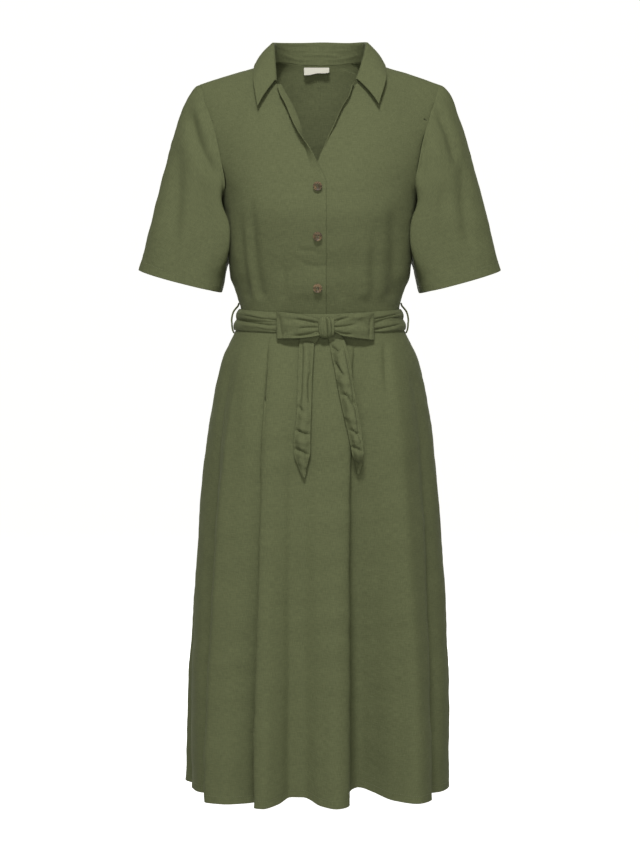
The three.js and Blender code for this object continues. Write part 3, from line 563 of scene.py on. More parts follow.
def bodice_front(side):
    drops = BODICE_DROPS[:, None]
    main = front_point(side, spread(60, 0.006)[None], drops)
    shares = spread(14, 0.05)[1:]
    shares = np.concatenate([[0], shares[shares > 0.06]])
    corner = np.searchsorted(BODICE_DROPS, FRONT_CORNER_DROP)
    lap = lap_points(side, BODICE_DROPS[corner:], shares[None])
    return [main, lap[:, ::-1]]


def back_neck_x(drop):
    order = slice(None, None, -1)
    return back_neck["x"](smooth_curve(BACK_NECK["drop"][order], BACK_NECK["share"][order])(drop))


def bodice_back():
    drops = np.unique(np.concatenate([BODICE_DROPS, BACK_NECK_DROP - np.array([0, 2, 4])]))
    edge = np.where(drops < BACK_NECK_DROP, back_neck_x(drops), 0)
    inner = (np.pi - bodice_angle(edge, drops))[:, None]
    shares = spread(64, 0.006)[None]
    angles = lerp(inner, panel_angle("back", shares, drops[:, None]), shares)
    return [bodice_point(side * angles, drops[:, None]) for side in (VIEWER_LEFT, VIEWER_RIGHT)]


def length_shares(points):
    steps = np.linalg.norm(np.diff(points, axis=0), axis=1)
    total = np.concatenate([[0], np.cumsum(steps)])
    return total / total[-1]


def armhole_loop(side, count):
    """The armhole's points and turns, from the shoulder down the front and up the back."""
    drops = np.concatenate([np.linspace(0, 200, 120), np.linspace(200, UNDERARM, 80)[1:]])
    starts, turns = [], []
    for half in ("front", "back"):
        line = bodice_point(side * side_angle(half, drops), drops)
        shares = length_shares(line)
        even = np.linspace(0, 1, count)
        places = np.stack([np.interp(even, shares, line[:, axis]) for axis in range(3)], axis=-1)
        starts.append(places if half == "front" else places[::-1][1:])
        turns.append(even * np.pi if half == "front" else ((2 - even) * np.pi)[::-1][1:])
    return np.concatenate(starts), np.concatenate(turns)


def sleeve(side, outer, inner):
    high, low = np.array(outer, float), np.array(inner, float)
    centre = (high + low) / 2
    start, turn = armhole_loop(side, 60)
    under = (1 - np.cos(turn)) / 2
    front = np.sin(turn)
    square = np.where((turn > np.pi / 2) & (turn < 1.5 * np.pi), SLEEVE_SQUARENESS, 1)
    end = centre + (high - centre) * signed_power(np.cos(turn), square)[:, None]
    deep = -SLEEVE_HALF_DEPTH * signed_power(front, square)
    end = end + point(0, deep, -SLEEVE_FRONT_DIP * np.maximum(front, 0))
    inward = lerp(1, 0.25, smoothstep(under, 0.45, 1))
    leave = point(side * inward, -0.45 * front, -lerp(0.25, 0.8, under)) * lerp(105, 70, under)[:, None]
    arrive = point(side * 0.3, 0, -0.95) * lerp(300, 150, under)[:, None]
    first = start + unit(leave) * SLEEVE_SETBACK
    hem = np.array([0.94, 0.945, 0.951, 0.957, 0.998])
    t = np.unique(np.concatenate([np.linspace(0, 1, 64), [0.003], hem]))[:, None, None]
    s = 1 - t
    grid = s * s * (1 + 2 * t) * first + t * s * s * leave + t * t * (3 - 2 * t) * end - t * t * s * arrive
    grid = clear_of_torso(grid, t[..., 0], under[None])
    grid[:, -1] = grid[:, 0]
    return grid, t[:, 0, 0], under


def clear_of_torso(grid, t, under):
    """Keeps the sleeve just clear of the side of the torso below the armhole."""
    x, y, z = np.moveaxis(grid, -1, 0)
    line = shoulder_line(x)
    drop = WAIST * (line - z) / (WAIST + line)
    power = ring_power(drop)
    depth = np.where(y < 0, bodice["front"](drop), bodice["back"](drop))
    across = np.minimum(np.abs(y) / np.maximum(depth, 1), 1)
    torso = bodice["halfWidth"](drop) * (1 - across**power) ** (1 / power)
    least = torso + lerp(1.6, 2.4, smoothstep(t, 0, 0.3))
    drawn = smoothstep(under, 0.45, 0.85) * smoothstep(drop, UNDERARM, UNDERARM + 60)
    drawn = drawn * (1 - smoothstep(t, 0.45, 0.9))
    beside = (drop >= UNDERARM) & (drop <= WAIST) & (across < 1)
    clear = np.sign(x) * np.maximum(least, lerp(np.abs(x), least, drawn))
    return point(np.where(beside, clear, x), y, z)


def skirt_ring(level):
    return [skirt[name](level) for name in ("halfWidth", "front", "back")]


def skirt_point(folds, place, level):
    """A point of the skirt: the fold table's place along it, and the level below the neck."""
    place, level = np.broadcast_arrays(place, level)
    share = (level - WAIST) / (HEM - WAIST)
    angle = lerp(folds["waist"](place), folds["hem"](place), 1 - np.exp(-FOLD_SETTLE * share))
    growth = np.maximum(0, (level - BELT_FOOT) / (HEM - BELT_FOOT))
    out = folds["reach"](place) * growth
    x, y = ring_point(np.radians(angle), *skirt_ring(level), ring_power(WAIST), 0, out)
    return point(x, y, -level + folds["lift"](place) * growth**3)


HEM_ROWS = HEM - np.array([13.5, 12.5, 11.7, 11, 10.3, 9.5, 8.5, 0.8])
SKIRT_LEVELS = np.unique(np.concatenate([[WAIST + 0.8], np.linspace(WAIST, HEM, 205), HEM_ROWS]))


def skirt_panel(folds):
    last = len(FRONT_FOLDS["waist"] if folds is front_folds else BACK_FOLDS["waist"]) - 1
    dense = np.linspace(0, last, 1200)
    shares = length_shares(skirt_point(folds, dense, 1000.0))
    places = np.interp(spread(170, 0.0014), shares, dense)
    return skirt_point(folds, places[None], SKIRT_LEVELS[:, None])


def neck_seam(along):
    """The neck seam that the collar stands on."""
    share = np.abs(along) * 2
    side = np.where(along < 0, VIEWER_LEFT, VIEWER_RIGHT)
    drop = back_neck["drop"](share)
    back = bodice_point(np.pi - bodice_angle(side * back_neck["x"](share), drop), drop)
    front_drop = lerp(0, 42, share - 1)
    fronts = {s: front_point(s, 0.0, np.maximum(front_drop, 0)) for s in (VIEWER_LEFT, VIEWER_RIGHT)}
    front = np.where((side < 0)[:, None], fronts[VIEWER_LEFT], fronts[VIEWER_RIGHT])
    return np.where((share <= 1)[:, None], back, front)


def collar_grid():
    along = lerp(-1, 1, spread(150, 0.003))
    roll, edge = (point(*(collar_line[part + axis](along) for axis in "XYZ")) for part in ("roll", "edge"))
    seam = neck_seam(along)
    seam = seam + unit(roll - seam) * COLLAR_SEAM_GAP
    outward = unit((edge - roll) * (1, 1, 0))
    low = np.array([0, 0, -1.5])
    inner = roll - COLLAR_ROLL * outward + low
    outer = roll + COLLAR_ROLL * outward + low
    swell = COLLAR_SWELL * outward
    rows = [seam, lerp(seam, inner, 0.35), lerp(seam, inner, 0.7), inner, roll, outer]
    rows += [lerp(outer, edge, 0.33) + swell, lerp(outer, edge, 0.67) + swell, edge]
    rows = np.stack(rows)
    at = np.array([0, 1, 2, 3, 3.3, 3.6, 4.6, 5.6, 6.6])
    steps = np.unique(np.concatenate([np.linspace(0, 6.6, 46), [0.05, 6.53, 6.1, 6.0, 5.9]]))
    return np.stack([
        np.stack([smooth_curve(at, rows[:, i, axis])(steps) for axis in range(3)], axis=-1)
        for i in range(len(along))
    ], axis=1)


def belt_dip(angle):
    return ((1 + np.cos(angle)) / 2) ** 3


def waist_point(angle, level, out):
    """A point of the dress at the waist, moved out."""
    above = bodice_point(angle, level, out)
    x, y = ring_point(angle, *skirt_ring(level), ring_power(WAIST), 0, out)
    return np.where((level < WAIST)[..., None], above, point(x, y, -level))


def belt_point(angle, across):
    """A point of the belt: straight between its edges, which lie on the dress, with two soft lobes."""
    angle, across = np.broadcast_arrays(angle, across)
    dip = belt_dip(angle)
    middle = BELT_LEVEL + BELT_FRONT_DIP * dip
    half = BELT_HALF_WIDTH - BELT_NARROWING * dip
    over_lap = BELT_OVER_LAP * (1 - smoothstep(np.abs(angle), 0.2, 0.45))
    stand = BELT_STAND + over_lap + BELT_LOBE * np.sin(np.abs(across) * np.pi)
    top = waist_point(angle, middle - half, stand)
    bottom = waist_point(angle, middle + half, stand)
    return lerp(top, bottom, ((1 - across) / 2)[..., None])


def belt_band():
    angles = np.linspace(-np.pi, np.pi, 481)
    grid = belt_point(angles[None], lerp(-1, 1, spread(43, 0.012))[:, None])
    grid[:, -1] = grid[:, 0]
    return grid


def belt_reach(x):
    """How far the outside of the belt stands in front of the origin at this place."""
    angle = angle_at(x, skirt["halfWidth"](BELT_FRONT_LEVEL), ring_power(WAIST))
    lines = belt_point(np.atleast_1d(angle)[None], np.array([-1, -0.5, 0, 0.5, 1.0])[:, None])
    return (-lines[..., 1]).max(axis=0) + BELT_HALF_THICKNESS


# Places along the front folds that a hanging belt end can lie on
FRONT_PLACES = np.linspace(5, 21, 500)


def reach_near(x, level, near):
    """The foremost of what lies near this place, so that a hanging piece clears it."""
    reach = 0
    for at in (level - near, level, level + near):
        if at < BELT_FOOT:
            reach = max(reach, float(belt_reach(np.array([x - near, x, x + near])).max()))
            continue
        line = skirt_point(front_folds, FRONT_PLACES, at)
        close = np.abs(line[:, 0] - x) < near
        reach = max(reach, float(-line[close, 1].min()) + CLOTH_HALF_THICKNESS)
    return reach


def belt_end(cup, tip, rows):
    """A free end of the belt, hanging from the knot with its edges turned in to a point."""
    line = curves_of(rows)
    levels = lerp(rows["level"][0], rows["level"][-1], spread(220, 0.002))
    across = lerp(-1, 1, spread(31, 0.02))
    width, x = line["width"](levels), line["x"](levels)
    coarse = np.linspace(levels[0], levels[-1], 30)
    stands = [
        max(reach_near(line["x"](level) + side * line["width"](level) / 2, level, 5) for side in (-1, 0, 1))
        for level in coarse
    ]
    free = lerp(END_STAND_AT_KNOT, END_STAND, smoothstep(levels, 430, 470))
    stand = smooth_curve(coarse, np.array(stands))(levels) + free
    hollow = cup * smoothstep(levels, 440, 470) * width / 22
    lean = line["x"](levels + 4) - line["x"](levels - 4)
    narrowed = smoothstep(levels, levels[-1] - 40, levels[-1])
    sunk = hollow[:, None] * smoothstep(across, -1, -0.1) * (1 - 0.4 * smoothstep(across, 0.2, 1))
    return point(
        (x + tip * narrowed)[:, None] + across * width[:, None] / 2,
        -stand[:, None] - sunk,
        -levels[:, None] + across * (width * lean)[:, None] / 16,
    )


def bow_loop_grid(end, knot_rise, end_rise, wider):
    """One loop of the bow: a ribbon that leaves the knot, turns at its far end and comes back in front."""
    start = KNOT_X + np.sign(end) * (KNOT_HALF[0] - LOOP_IN_KNOT)
    step = lerp(0, 8, spread(150, 0.002))
    across = lerp(-1, 1, spread(41, 0.015))
    reach = bow_loop["reach"](step)
    x = lerp(start, end, reach)
    y = -belt_reach(x) - bow_loop["stand"](step)
    half = bow_loop["halfWidth"](step) + wider * (1 - smoothstep(reach, 0, 0.3))
    z = KNOT_Z + lerp(knot_rise, end_rise, reach)
    return point(x[:, None], y[:, None], z[:, None] + across * half[:, None])


def knot_grid():
    """The strip of belt wrapped once round the middle of the bow."""
    across = lerp(-1, 1, spread(56, 0.01))
    turn = np.linspace(0, 2 * np.pi, 121)
    half_x, half_y, half_z = KNOT_HALF
    narrow = (1 - 0.3 * np.abs(across) ** 2.6)[None]
    back = belt_reach(np.array([KNOT_X]))[0] + KNOT_STAND
    y = signed_power(np.cos(turn), KNOT_SQUARENESS)[:, None] * half_y * narrow
    z = signed_power(np.sin(turn), KNOT_SQUARENESS)[:, None] * half_z * narrow
    grid = point(KNOT_X + across[None] * half_x, y - back - half_y, z + KNOT_Z)
    grid[-1] = grid[0]
    return grid


def carrier_grid(side):
    """A thin carrier at the side seam: an arch over the belt, sewn down above and below it."""
    rows = table(
        "level stand",
        (CARRIER_TOP, 2), (383, 4.2), (388, 9), (393, 12.4), (399, 13.5), (406, 13), (413, 11), (418, 8.6),
        (423, 5.6), (CARRIER_FOOT, 2),
    )
    levels = lerp(float(CARRIER_TOP), float(CARRIER_FOOT), spread(40, 0.01))
    middle = waist_point(np.full(levels.shape, side * np.pi / 2), levels, curves_of(rows)["stand"](levels))
    across = np.array([-1, -0.8, 0, 0.8, 1])
    return middle[:, None] + point(0, across * CARRIER_HALF_WIDTH, 0)[None]


def label_grid():
    """A plain flap in the back neck seam, longer at one end, with a wavy lower edge."""
    share_x = spread(24, 0.02)
    share = spread(14, 0.03)[None]
    x = lerp(*LABEL_ENDS, share_x)[:, None]
    length = (lerp(*LABEL_LENGTHS, share_x) + 0.8 * np.sin(share_x * 9))[:, None]
    wave = 0.9 * np.sin(share_x * 7 + 1)[:, None] * share
    return point(x + 0 * share, LABEL_Y - 5 * share**1.5 - wave, LABEL_Z - length * share)


def grid_normals(grid):
    """The normals of a grid of points."""
    down = np.gradient(grid, axis=0)
    right = np.gradient(grid, axis=1)
    return unit(np.cross(right, down))


def facing(grid, centre):
    """The grid with its columns in the order that makes its normals point away from the centre."""
    away = (grid_normals(grid) * (grid - np.array(centre))).sum()
    return grid if away > 0 else grid[:, ::-1]


def uneven(points, seed, length, stretch=(1, 1, 1)):
    """A smooth uneven field of about -1 to 1, made of waves of about this length."""
    rng = np.random.default_rng(seed)
    total = np.zeros(points.shape[:-1])
    waves = 16
    for _ in range(waves):
        direction = rng.normal(size=3)
        direction /= np.linalg.norm(direction) * length * rng.uniform(0.7, 1.5)
        total += np.sin(2 * np.pi * (points @ (direction / stretch)) + rng.uniform(0, 2 * np.pi))
    return total / math.sqrt(waves / 2)


def crease_field(x, z, creases):
    """The outward move of the cloth at these places from a table of creases."""
    field = np.zeros(x.shape)
    for x0, z0, x1, z1, bow, depth, width, tilt in zip(*creases.values()):
        length = math.hypot(x1 - x0, z1 - z0)
        along_x, along_z = (x1 - x0) / length, (z1 - z0) / length
        along = ((x - x0) * along_x + (z - z0) * along_z) / length
        side = (x - x0) * along_z - (z - z0) * along_x
        share = np.clip(along, 0, 1)
        off = (side - bow * 4 * share * (1 - share)) / width
        fade = smoothstep(along, -0.08, 0.22) * (1 - smoothstep(along, 0.72, 1.08))
        field += fade * np.exp(-off * off) * (depth + tilt * off)
    return field


def creased(grid, front=None, back=None, calm=1.0, seed=5):
    """The grid moved along its normals by its creases and the cloth's own unevenness."""
    normals = grid_normals(grid)
    x, y, z = np.moveaxis(grid, -1, 0)
    turned = np.clip(np.abs(normals[..., 1]) / 0.4, 0, 1)
    fields = (height * uneven(grid, seed + i, *waves) for i, (height, *waves) in enumerate(UNEVENNESS))
    move = sum(fields) * calm
    for creases, side in ((front, y < 0), (back, y >= 0)):
        if creases is not None:
            move += np.where(side, crease_field(x, z, creases) * turned, 0)
    return grid + normals * move[..., None]


def at_waist(grid, rest):
    """Keeps the cloth under the belt to its plain form."""
    hidden = (1 - smoothstep(np.abs(rest[..., 2] + UNDER_BELT), 28, 44))[..., None]
    return lerp(grid, rest, hidden)


def at_neck(grid, rest):
    """Keeps the cloth beside the neck seam to its plain form."""
    gap = np.full(rest.shape[:-1], np.inf)
    for place in neck_seam(np.linspace(-1, 1, 160)):
        gap = np.minimum(gap, np.linalg.norm(rest - place, axis=-1))
    return lerp(rest, grid, smoothstep(gap, 1.5, 16)[..., None])


def cloth_uv(grid):
    """Distances along the cloth, across and down, in metres."""
    across = np.linalg.norm(np.diff(grid, axis=1), axis=-1)
    down = np.linalg.norm(np.diff(grid, axis=0), axis=-1)
    u = np.pad(np.cumsum(across, axis=1), ((0, 0), (1, 0)))
    v = np.pad(np.cumsum(down, axis=0), ((1, 0), (0, 0)))
    middle = u[:, u.shape[1] // 2][:, None]
    return np.stack([u - middle, -np.broadcast_to(v.mean(axis=1)[:, None], u.shape)], axis=-1) * MM


def placed(name, data):
    """An object with this data, put into the scene."""
    thing = bpy.data.objects.new(name, data)
    bpy.context.scene.collection.objects.link(thing)
    return thing


def wall(name, grids, thickness):
    """A closed wall of cloth with rounded edges, whose middle is the given grids of points."""
    points = np.concatenate([grid.reshape(-1, 3) for grid in grids])
    flat = np.concatenate([cloth_uv(grid).reshape(-1, 2) for grid in grids])
    _, first, number = np.unique(np.round(points, 3), axis=0, return_index=True, return_inverse=True)
    number = number.reshape(-1)
    middle = points[first]
    corners, offset = [], 0
    for grid in grids:
        ids = np.arange(grid.shape[0] * grid.shape[1]).reshape(grid.shape[:2]) + offset
        offset += ids.size
        quads = np.stack([ids[:-1, :-1], ids[1:, :-1], ids[1:, 1:], ids[:-1, 1:]], axis=-1)
        corners.append(quads.reshape(-1, 4))
    corners = np.concatenate(corners)
    faces = number[corners]
    a, b, c, d = (middle[faces[:, i]] for i in range(4))
    face_normals = np.cross(c - a, d - b)
    normals = np.zeros_like(middle)
    for i in range(4):
        np.add.at(normals, faces[:, i], face_normals)
    normals = unit(normals)
    count = len(middle)
    starts, ends = faces.reshape(-1), np.roll(faces, -1, axis=1).reshape(-1)
    rim = ~np.isin(starts * count + ends, ends * count + starts)
    start_corner, end_corner = corners.reshape(-1)[rim], np.roll(corners, -1, axis=1).reshape(-1)[rim]
    start, end = starts[rim], ends[rim]
    outward = unit(np.cross(middle[end] - middle[start], np.repeat(face_normals, 4, axis=0)[rim]))
    push = np.zeros_like(middle)
    np.add.at(push, start, outward)
    np.add.at(push, end, outward)
    edge_ids = np.unique(np.concatenate([start, end]))
    place_of = np.full(count, -1)
    place_of[edge_ids] = np.arange(len(edge_ids)) + 2 * count
    half = thickness / 2
    vertices = np.concatenate([
        middle + normals * half,
        middle - normals * half,
        middle[edge_ids] + unit(push[edge_ids]) * half * 0.8,
    ])
    edge_a, edge_b = place_of[start], place_of[end]
    quads = np.concatenate([
        faces,
        faces[:, ::-1] + count,
        np.stack([end, start, edge_a, edge_b], axis=-1),
        np.stack([edge_b, edge_a, start + count, end + count], axis=-1),
    ])
    rim_uv = np.stack([end_corner, start_corner, start_corner, end_corner], axis=-1)
    uv = flat[np.concatenate([corners, corners[:, ::-1], rim_uv, rim_uv])]
    mesh = bpy.data.meshes.new(name)
    mesh.from_pydata((vertices * MM).tolist(), [], quads.tolist())
    layer = mesh.uv_layers.new(name="cloth")
    layer.data.foreach_set("uv", uv.reshape(-1))
    mesh.shade_smooth()
    mesh.validate()
    return placed(name, mesh)


def stitch_row(line, normals, rise, pitch=3.2, length=2.3, width=0.5):
    """Vertices and faces of a row of stitches lying along a line on the cloth."""
    steps = np.linalg.norm(np.diff(line, axis=0), axis=1)
    total = np.concatenate([[0], np.cumsum(steps)])
    at = np.arange(pitch / 2, total[-1], pitch)

    def sample(values, places):
        return np.stack([np.interp(places, total, values[:, axis]) for axis in range(3)], axis=-1)

    centre, up = sample(line, at), unit(sample(normals, at))
    centre = centre + up * rise
    along = unit(sample(line, at + 0.5) - sample(line, at - 0.5))
    across = np.cross(along, up)
    shape = [(-0.5, 0, -0.3)]
    for share in (-0.32, 0.32):
        shape += [(share, 0.5, 0), (share, 0, 0.7), (share, -0.5, 0), (share, 0, -0.5)]
    shape += [(0.5, 0, -0.3)]
    parts = [centre + along * (s * length) + across * (w * width) + up * (h * width) for s, w, h in shape]
    vertices = np.stack(parts, axis=1).reshape(-1, 3)
    faces = []
    for i in range(4):
        j = (i + 1) % 4
        faces += [(0, 1 + i, 1 + j, 0), (1 + i, 5 + i, 5 + j, 1 + j), (5 + i, 9, 5 + j, 5 + i)]
    faces = [tuple(dict.fromkeys(face)) for face in faces]
    return vertices, [tuple(v + 10 * n for v in face) for n in range(len(at)) for face in faces]


def sewing(name, rows):
    """One piece with all the rows of stitches given as lines, normals and rise."""
    vertices, faces, offset = [], [], 0
    for row in rows:
        points, shapes = stitch_row(*row)
        vertices.append(points)
        faces += [tuple(v + offset for v in face) for face in shapes]
        offset += len(points)
    mesh = bpy.data.meshes.new(name)
    mesh.from_pydata((np.concatenate(vertices) * MM).tolist(), [], faces)
    made = bmesh.new()
    made.from_mesh(mesh)
    bmesh.ops.recalc_face_normals(made, faces=made.faces)
    made.to_mesh(mesh)
    made.free()
    mesh.shade_smooth()
    return placed(name, mesh)


class Nodes:
    """A material's nodes, made one after another."""

    def __init__(self, name):
        self.material = bpy.data.materials.new(name)
        self.material.use_nodes = True
        self.tree = self.material.node_tree
        self.shader = self.tree.nodes["Principled BSDF"]

    def add(self, kind, inputs=(), **settings):
        node = self.tree.nodes.new(kind)
        for key, value in settings.items():
            setattr(node, key, value)
        for key, value in dict(inputs).items():
            if isinstance(value, bpy.types.NodeSocket):
                self.tree.links.new(value, node.inputs[key])
            else:
                node.inputs[key].default_value = value
        return node

    def math(self, operation, a, b=0.0):
        return self.add("ShaderNodeMath", {0: a, 1: b}, operation=operation).outputs[0]

    def noise(self, source, scale, detail=3.0):
        """Noise with this many features to a metre along each axis."""
        mapped = self.add("ShaderNodeMapping", {"Vector": source, "Scale": scale}).outputs[0]
        node = self.add("ShaderNodeTexNoise", {"Vector": mapped, "Scale": 1.0, "Detail": detail})
        return node.outputs["Fac"]

    def ramp(self, factor, dark, light, low=0.3, high=0.7):
        node = self.add("ShaderNodeValToRGB", {"Fac": factor})
        first, last = node.color_ramp.elements
        first.position, first.color = low, (*dark, 1)
        last.position, last.color = high, (*light, 1)
        return node.outputs[0]

    def mix(self, factor, a, b, blend="MIX"):
        """Two colours mixed, each an output or three numbers."""
        a, b = (side if isinstance(side, bpy.types.NodeSocket) else (*side, 1) for side in (a, b))
        inputs = {0: factor, 6: a, 7: b}
        return self.add("ShaderNodeMix", inputs, data_type="RGBA", blend_type=blend).outputs[2]

    def link(self, output, socket):
        self.tree.links.new(output, self.shader.inputs[socket])

    def set(self, values):
        for socket, value in values.items():
            self.shader.inputs[socket].default_value = value

    def bump(self, height, strength, distance, normal=None):
        inputs = {"Height": height, "Strength": strength, "Distance": distance}
        if normal is not None:
            inputs["Normal"] = normal
        return self.add("ShaderNodeBump", inputs).outputs[0]


def scaled(colour, factor):
    return tuple(value * factor for value in colour)


def cloth_material(name, colour, weave, slub):
    """Linen-look cloth: plain weave with slubs, soft crinkles and a faint mottle."""
    nodes = Nodes(name)
    uv = nodes.add("ShaderNodeUVMap", uv_map="cloth").outputs[0]
    pitch = 1000 / weave
    wave = {"Vector": uv, "Scale": pitch / (2 * math.pi), "Distortion": 1.2}
    wave |= {"Detail": 1.0, "Detail Scale": 0.6}
    waves = [nodes.add("ShaderNodeTexWave", wave, bands_direction=way).outputs["Fac"] for way in "XY"]
    threads = nodes.math("MULTIPLY", nodes.math("ADD", *waves), 0.5)
    weft = nodes.noise(uv, (90, 900, 1), 2.0)
    warp = nodes.noise(uv, (900, 110, 1), 2.0)
    slubs = nodes.math("MULTIPLY", nodes.math("ADD", weft, warp), 0.5)
    mottle = nodes.noise(uv, (30, 24, 1))
    crinkle = nodes.noise(uv, (85, 120, 1))
    base = nodes.ramp(slubs, scaled(colour, 0.84), scaled(colour, 1.14), 0.36, 0.64)
    base = nodes.mix(0.25, base, nodes.ramp(mottle, (0.86,) * 3, (1.0,) * 3), "MULTIPLY")
    base = nodes.mix(0.35, base, nodes.ramp(threads, (0.8,) * 3, (1.0,) * 3, 0.1, 0.9), "MULTIPLY")
    nodes.link(base, "Base Color")
    nodes.link(nodes.ramp(slubs, (0.82,) * 3, (0.96,) * 3), "Roughness")
    fine = nodes.bump(threads, 0.35, 0.00025)
    yarns = nodes.bump(slubs, 0.5 * slub, 0.0006, fine)
    nodes.link(nodes.bump(crinkle, 0.35, 0.0018, yarns), "Normal")
    nodes.set({"Specular IOR Level": 0.12, "Sheen Weight": 0.05, "Sheen Roughness": 0.45})
    nodes.set({"Sheen Tint": (0.62, 0.68, 0.42, 1)})
    return nodes.material


def thread_material(name, colour):
    """Twisted sewing thread."""
    nodes = Nodes(name)
    place = nodes.add("ShaderNodeTexCoord").outputs["Object"]
    twist = nodes.noise(place, (2600, 2600, 2600), 2.0)
    nodes.link(nodes.ramp(twist, scaled(colour, 0.8), scaled(colour, 1.15)), "Base Color")
    nodes.link(nodes.ramp(twist, (0.55,) * 3, (0.75,) * 3), "Roughness")
    nodes.link(nodes.bump(twist, 0.4, 0.0002), "Normal")
    return nodes.material


def horn_material(name, light, middle, dark):
    """Polished mottled horn for the buttons."""
    nodes = Nodes(name)
    place = nodes.add("ShaderNodeTexCoord").outputs["Object"]
    cloud = nodes.noise(place, (150, 150, 190))
    flecks = nodes.noise(place, (420, 300, 520), 2.0)
    base = nodes.mix(nodes.ramp(cloud, (0,) * 3, (1,) * 3, 0.4, 0.6), middle, light)
    base = nodes.mix(nodes.ramp(flecks, (0,) * 3, (1,) * 3, 0.52, 0.66), base, dark)
    nodes.link(base, "Base Color")
    nodes.link(nodes.ramp(flecks, (0.34,) * 3, (0.5,) * 3), "Roughness")
    nodes.link(nodes.bump(cloud, 0.1, 0.0003), "Normal")
    nodes.set({"Specular IOR Level": 0.22})
    return nodes.material


def label_material(name, colour):
    """Close satin weave of a sewn-in label."""
    nodes = Nodes(name)
    uv = nodes.add("ShaderNodeUVMap", uv_map="cloth").outputs[0]
    wave = {"Vector": uv, "Scale": 420.0, "Distortion": 0.4}
    ribs = nodes.add("ShaderNodeTexWave", wave, bands_direction="Y").outputs["Fac"]
    cloud = nodes.noise(uv, (160, 160, 1))
    base = nodes.ramp(ribs, scaled(colour, 0.92), colour, 0.0, 1.0)
    nodes.link(nodes.mix(0.3, base, nodes.ramp(cloud, (0.85,) * 3, (1.0,) * 3), "MULTIPLY"), "Base Color")
    nodes.link(nodes.ramp(cloud, (0.5,) * 3, (0.68,) * 3), "Roughness")
    nodes.link(nodes.bump(ribs, 0.3, 0.0002), "Normal")
    return nodes.material


def paper_material(name, colour):
    """Matt studio paper."""
    nodes = Nodes(name)
    place = nodes.add("ShaderNodeTexCoord").outputs["Object"]
    grain = nodes.noise(place, (40, 40, 40), 2.0)
    nodes.link(nodes.ramp(grain, scaled(colour, 0.99), colour), "Base Color")
    nodes.set({"Roughness": 0.95, "Specular IOR Level": 0.05})
    nodes.set({"Emission Color": (1, 1, 1, 1), "Emission Strength": 0.8})
    return nodes.material


def dress(piece, material, slot, *nodes):
    """Gives a piece its material and body and hides the solids that it stands for; the slot is not used."""
    piece.data.materials.clear()
    piece.data.materials.append(material)
    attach(piece, "root")
    if nodes:
        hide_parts(*nodes)
    return piece


def shared_material(name, make, *values):
    return bpy.data.materials.get(name) or make(name, *values)


def deselect():
    for other in bpy.context.view_layer.objects:
        other.select_set(False)


def select_parts(mesh, kind, test):
    """Selects those faces or edges of a mesh in edit mode that pass the test."""
    bpy.ops.mesh.select_all(action="DESELECT")
    for part in getattr(bmesh.from_edit_mesh(mesh), kind):
        part.select = test(part)
    bmesh.update_edit_mesh(mesh)


COLOUR = {"subtype": "COLOR", "size": 3}
LENGTH = {"subtype": "DISTANCE", "unit": "LENGTH"}


class DressCloth(bpy.types.PropertyGroup):
    """Cloth and colours of the dress."""

    cloth: bpy.props.FloatVectorProperty(
        name="Cloth", description="Colour of the dress cloth", default=(0.119, 0.132, 0.064), **COLOUR
    )
    belt: bpy.props.FloatVectorProperty(
        name="Belt", description="Colour of the belt", default=(0.123, 0.136, 0.067), **COLOUR
    )
    thread: bpy.props.FloatVectorProperty(
        name="Thread", description="Colour of the thread", default=(0.13, 0.145, 0.07), **COLOUR
    )
    label: bpy.props.FloatVectorProperty(
        name="Label", description="Colour of the label", default=(0.62, 0.6, 0.52), **COLOUR
    )
    thickness: bpy.props.FloatProperty(
        name="Cloth thickness", description="Thickness of one layer", default=0.0012, **LENGTH
    )
    doubled: bpy.props.FloatProperty(
        name="Doubled thickness", description="Collar and belt", default=0.0018, **LENGTH
    )
    weave: bpy.props.FloatProperty(
        name="Weave", description="Distance between threads", default=0.00062, **LENGTH
    )


class DressButtons(bpy.types.PropertyGroup):
    """Buttons of the dress."""

    light: bpy.props.FloatVectorProperty(
        name="Light horn", description="Light parts of the horn", default=(0.19, 0.125, 0.06), **COLOUR
    )
    middle: bpy.props.FloatVectorProperty(
        name="Brown horn", description="Brown parts of the horn", default=(0.068, 0.046, 0.022), **COLOUR
    )
    dark: bpy.props.FloatVectorProperty(
        name="Dark horn", description="Dark flecks of the horn", default=(0.012, 0.007, 0.004), **COLOUR
    )
    hole: bpy.props.FloatProperty(
        name="Hole", description="Radius of a thread hole", default=0.00085, **LENGTH
    )


class DressStudio(bpy.types.PropertyGroup):
    """Floor, light and camera."""

    floor: bpy.props.FloatProperty(
        name="Floor", description="Level of the floor", default=-1.42, **LENGTH
    )
    surround: bpy.props.FloatProperty(
        name="Surround", description="Strength of the light all round", default=0.22
    )
    key: bpy.props.FloatProperty(
        name="Key", description="Power of the main light", default=153.0, unit="POWER"
    )
    fill: bpy.props.FloatProperty(
        name="Fill", description="Power of the second light", default=73.0, unit="POWER"
    )
    distance: bpy.props.FloatProperty(
        name="Camera distance", description="From the middle of the dress", default=2.9, **LENGTH
    )
    lens: bpy.props.FloatProperty(
        name="Lens", description="Focal length", default=76.47, unit="CAMERA"
    )


# Look of each cloth slot: the look's name, its colour and thickness among the settings, and its slubs
CLOTHS = {
    "dress_cloth": ("linen", "cloth", "thickness", 1.0),
    "collar_cloth": ("linen", "cloth", "doubled", 1.0),
    "belt_cloth": ("belt linen", "belt", "doubled", 0.8),
}


def cloth_settings():
    return bpy.context.scene.dress_cloth


def cloth_piece(name, grids, slot, node, thickness=None):
    """A wall of cloth with its looks."""
    look, colour, layers, slub = CLOTHS[slot]
    settings = cloth_settings()
    piece = wall(name, grids, thickness or getattr(settings, layers) / MM)
    values = tuple(getattr(settings, colour)), settings.weave / MM, slub
    return dress(piece, shared_material(look, cloth_material, *values), slot, node)


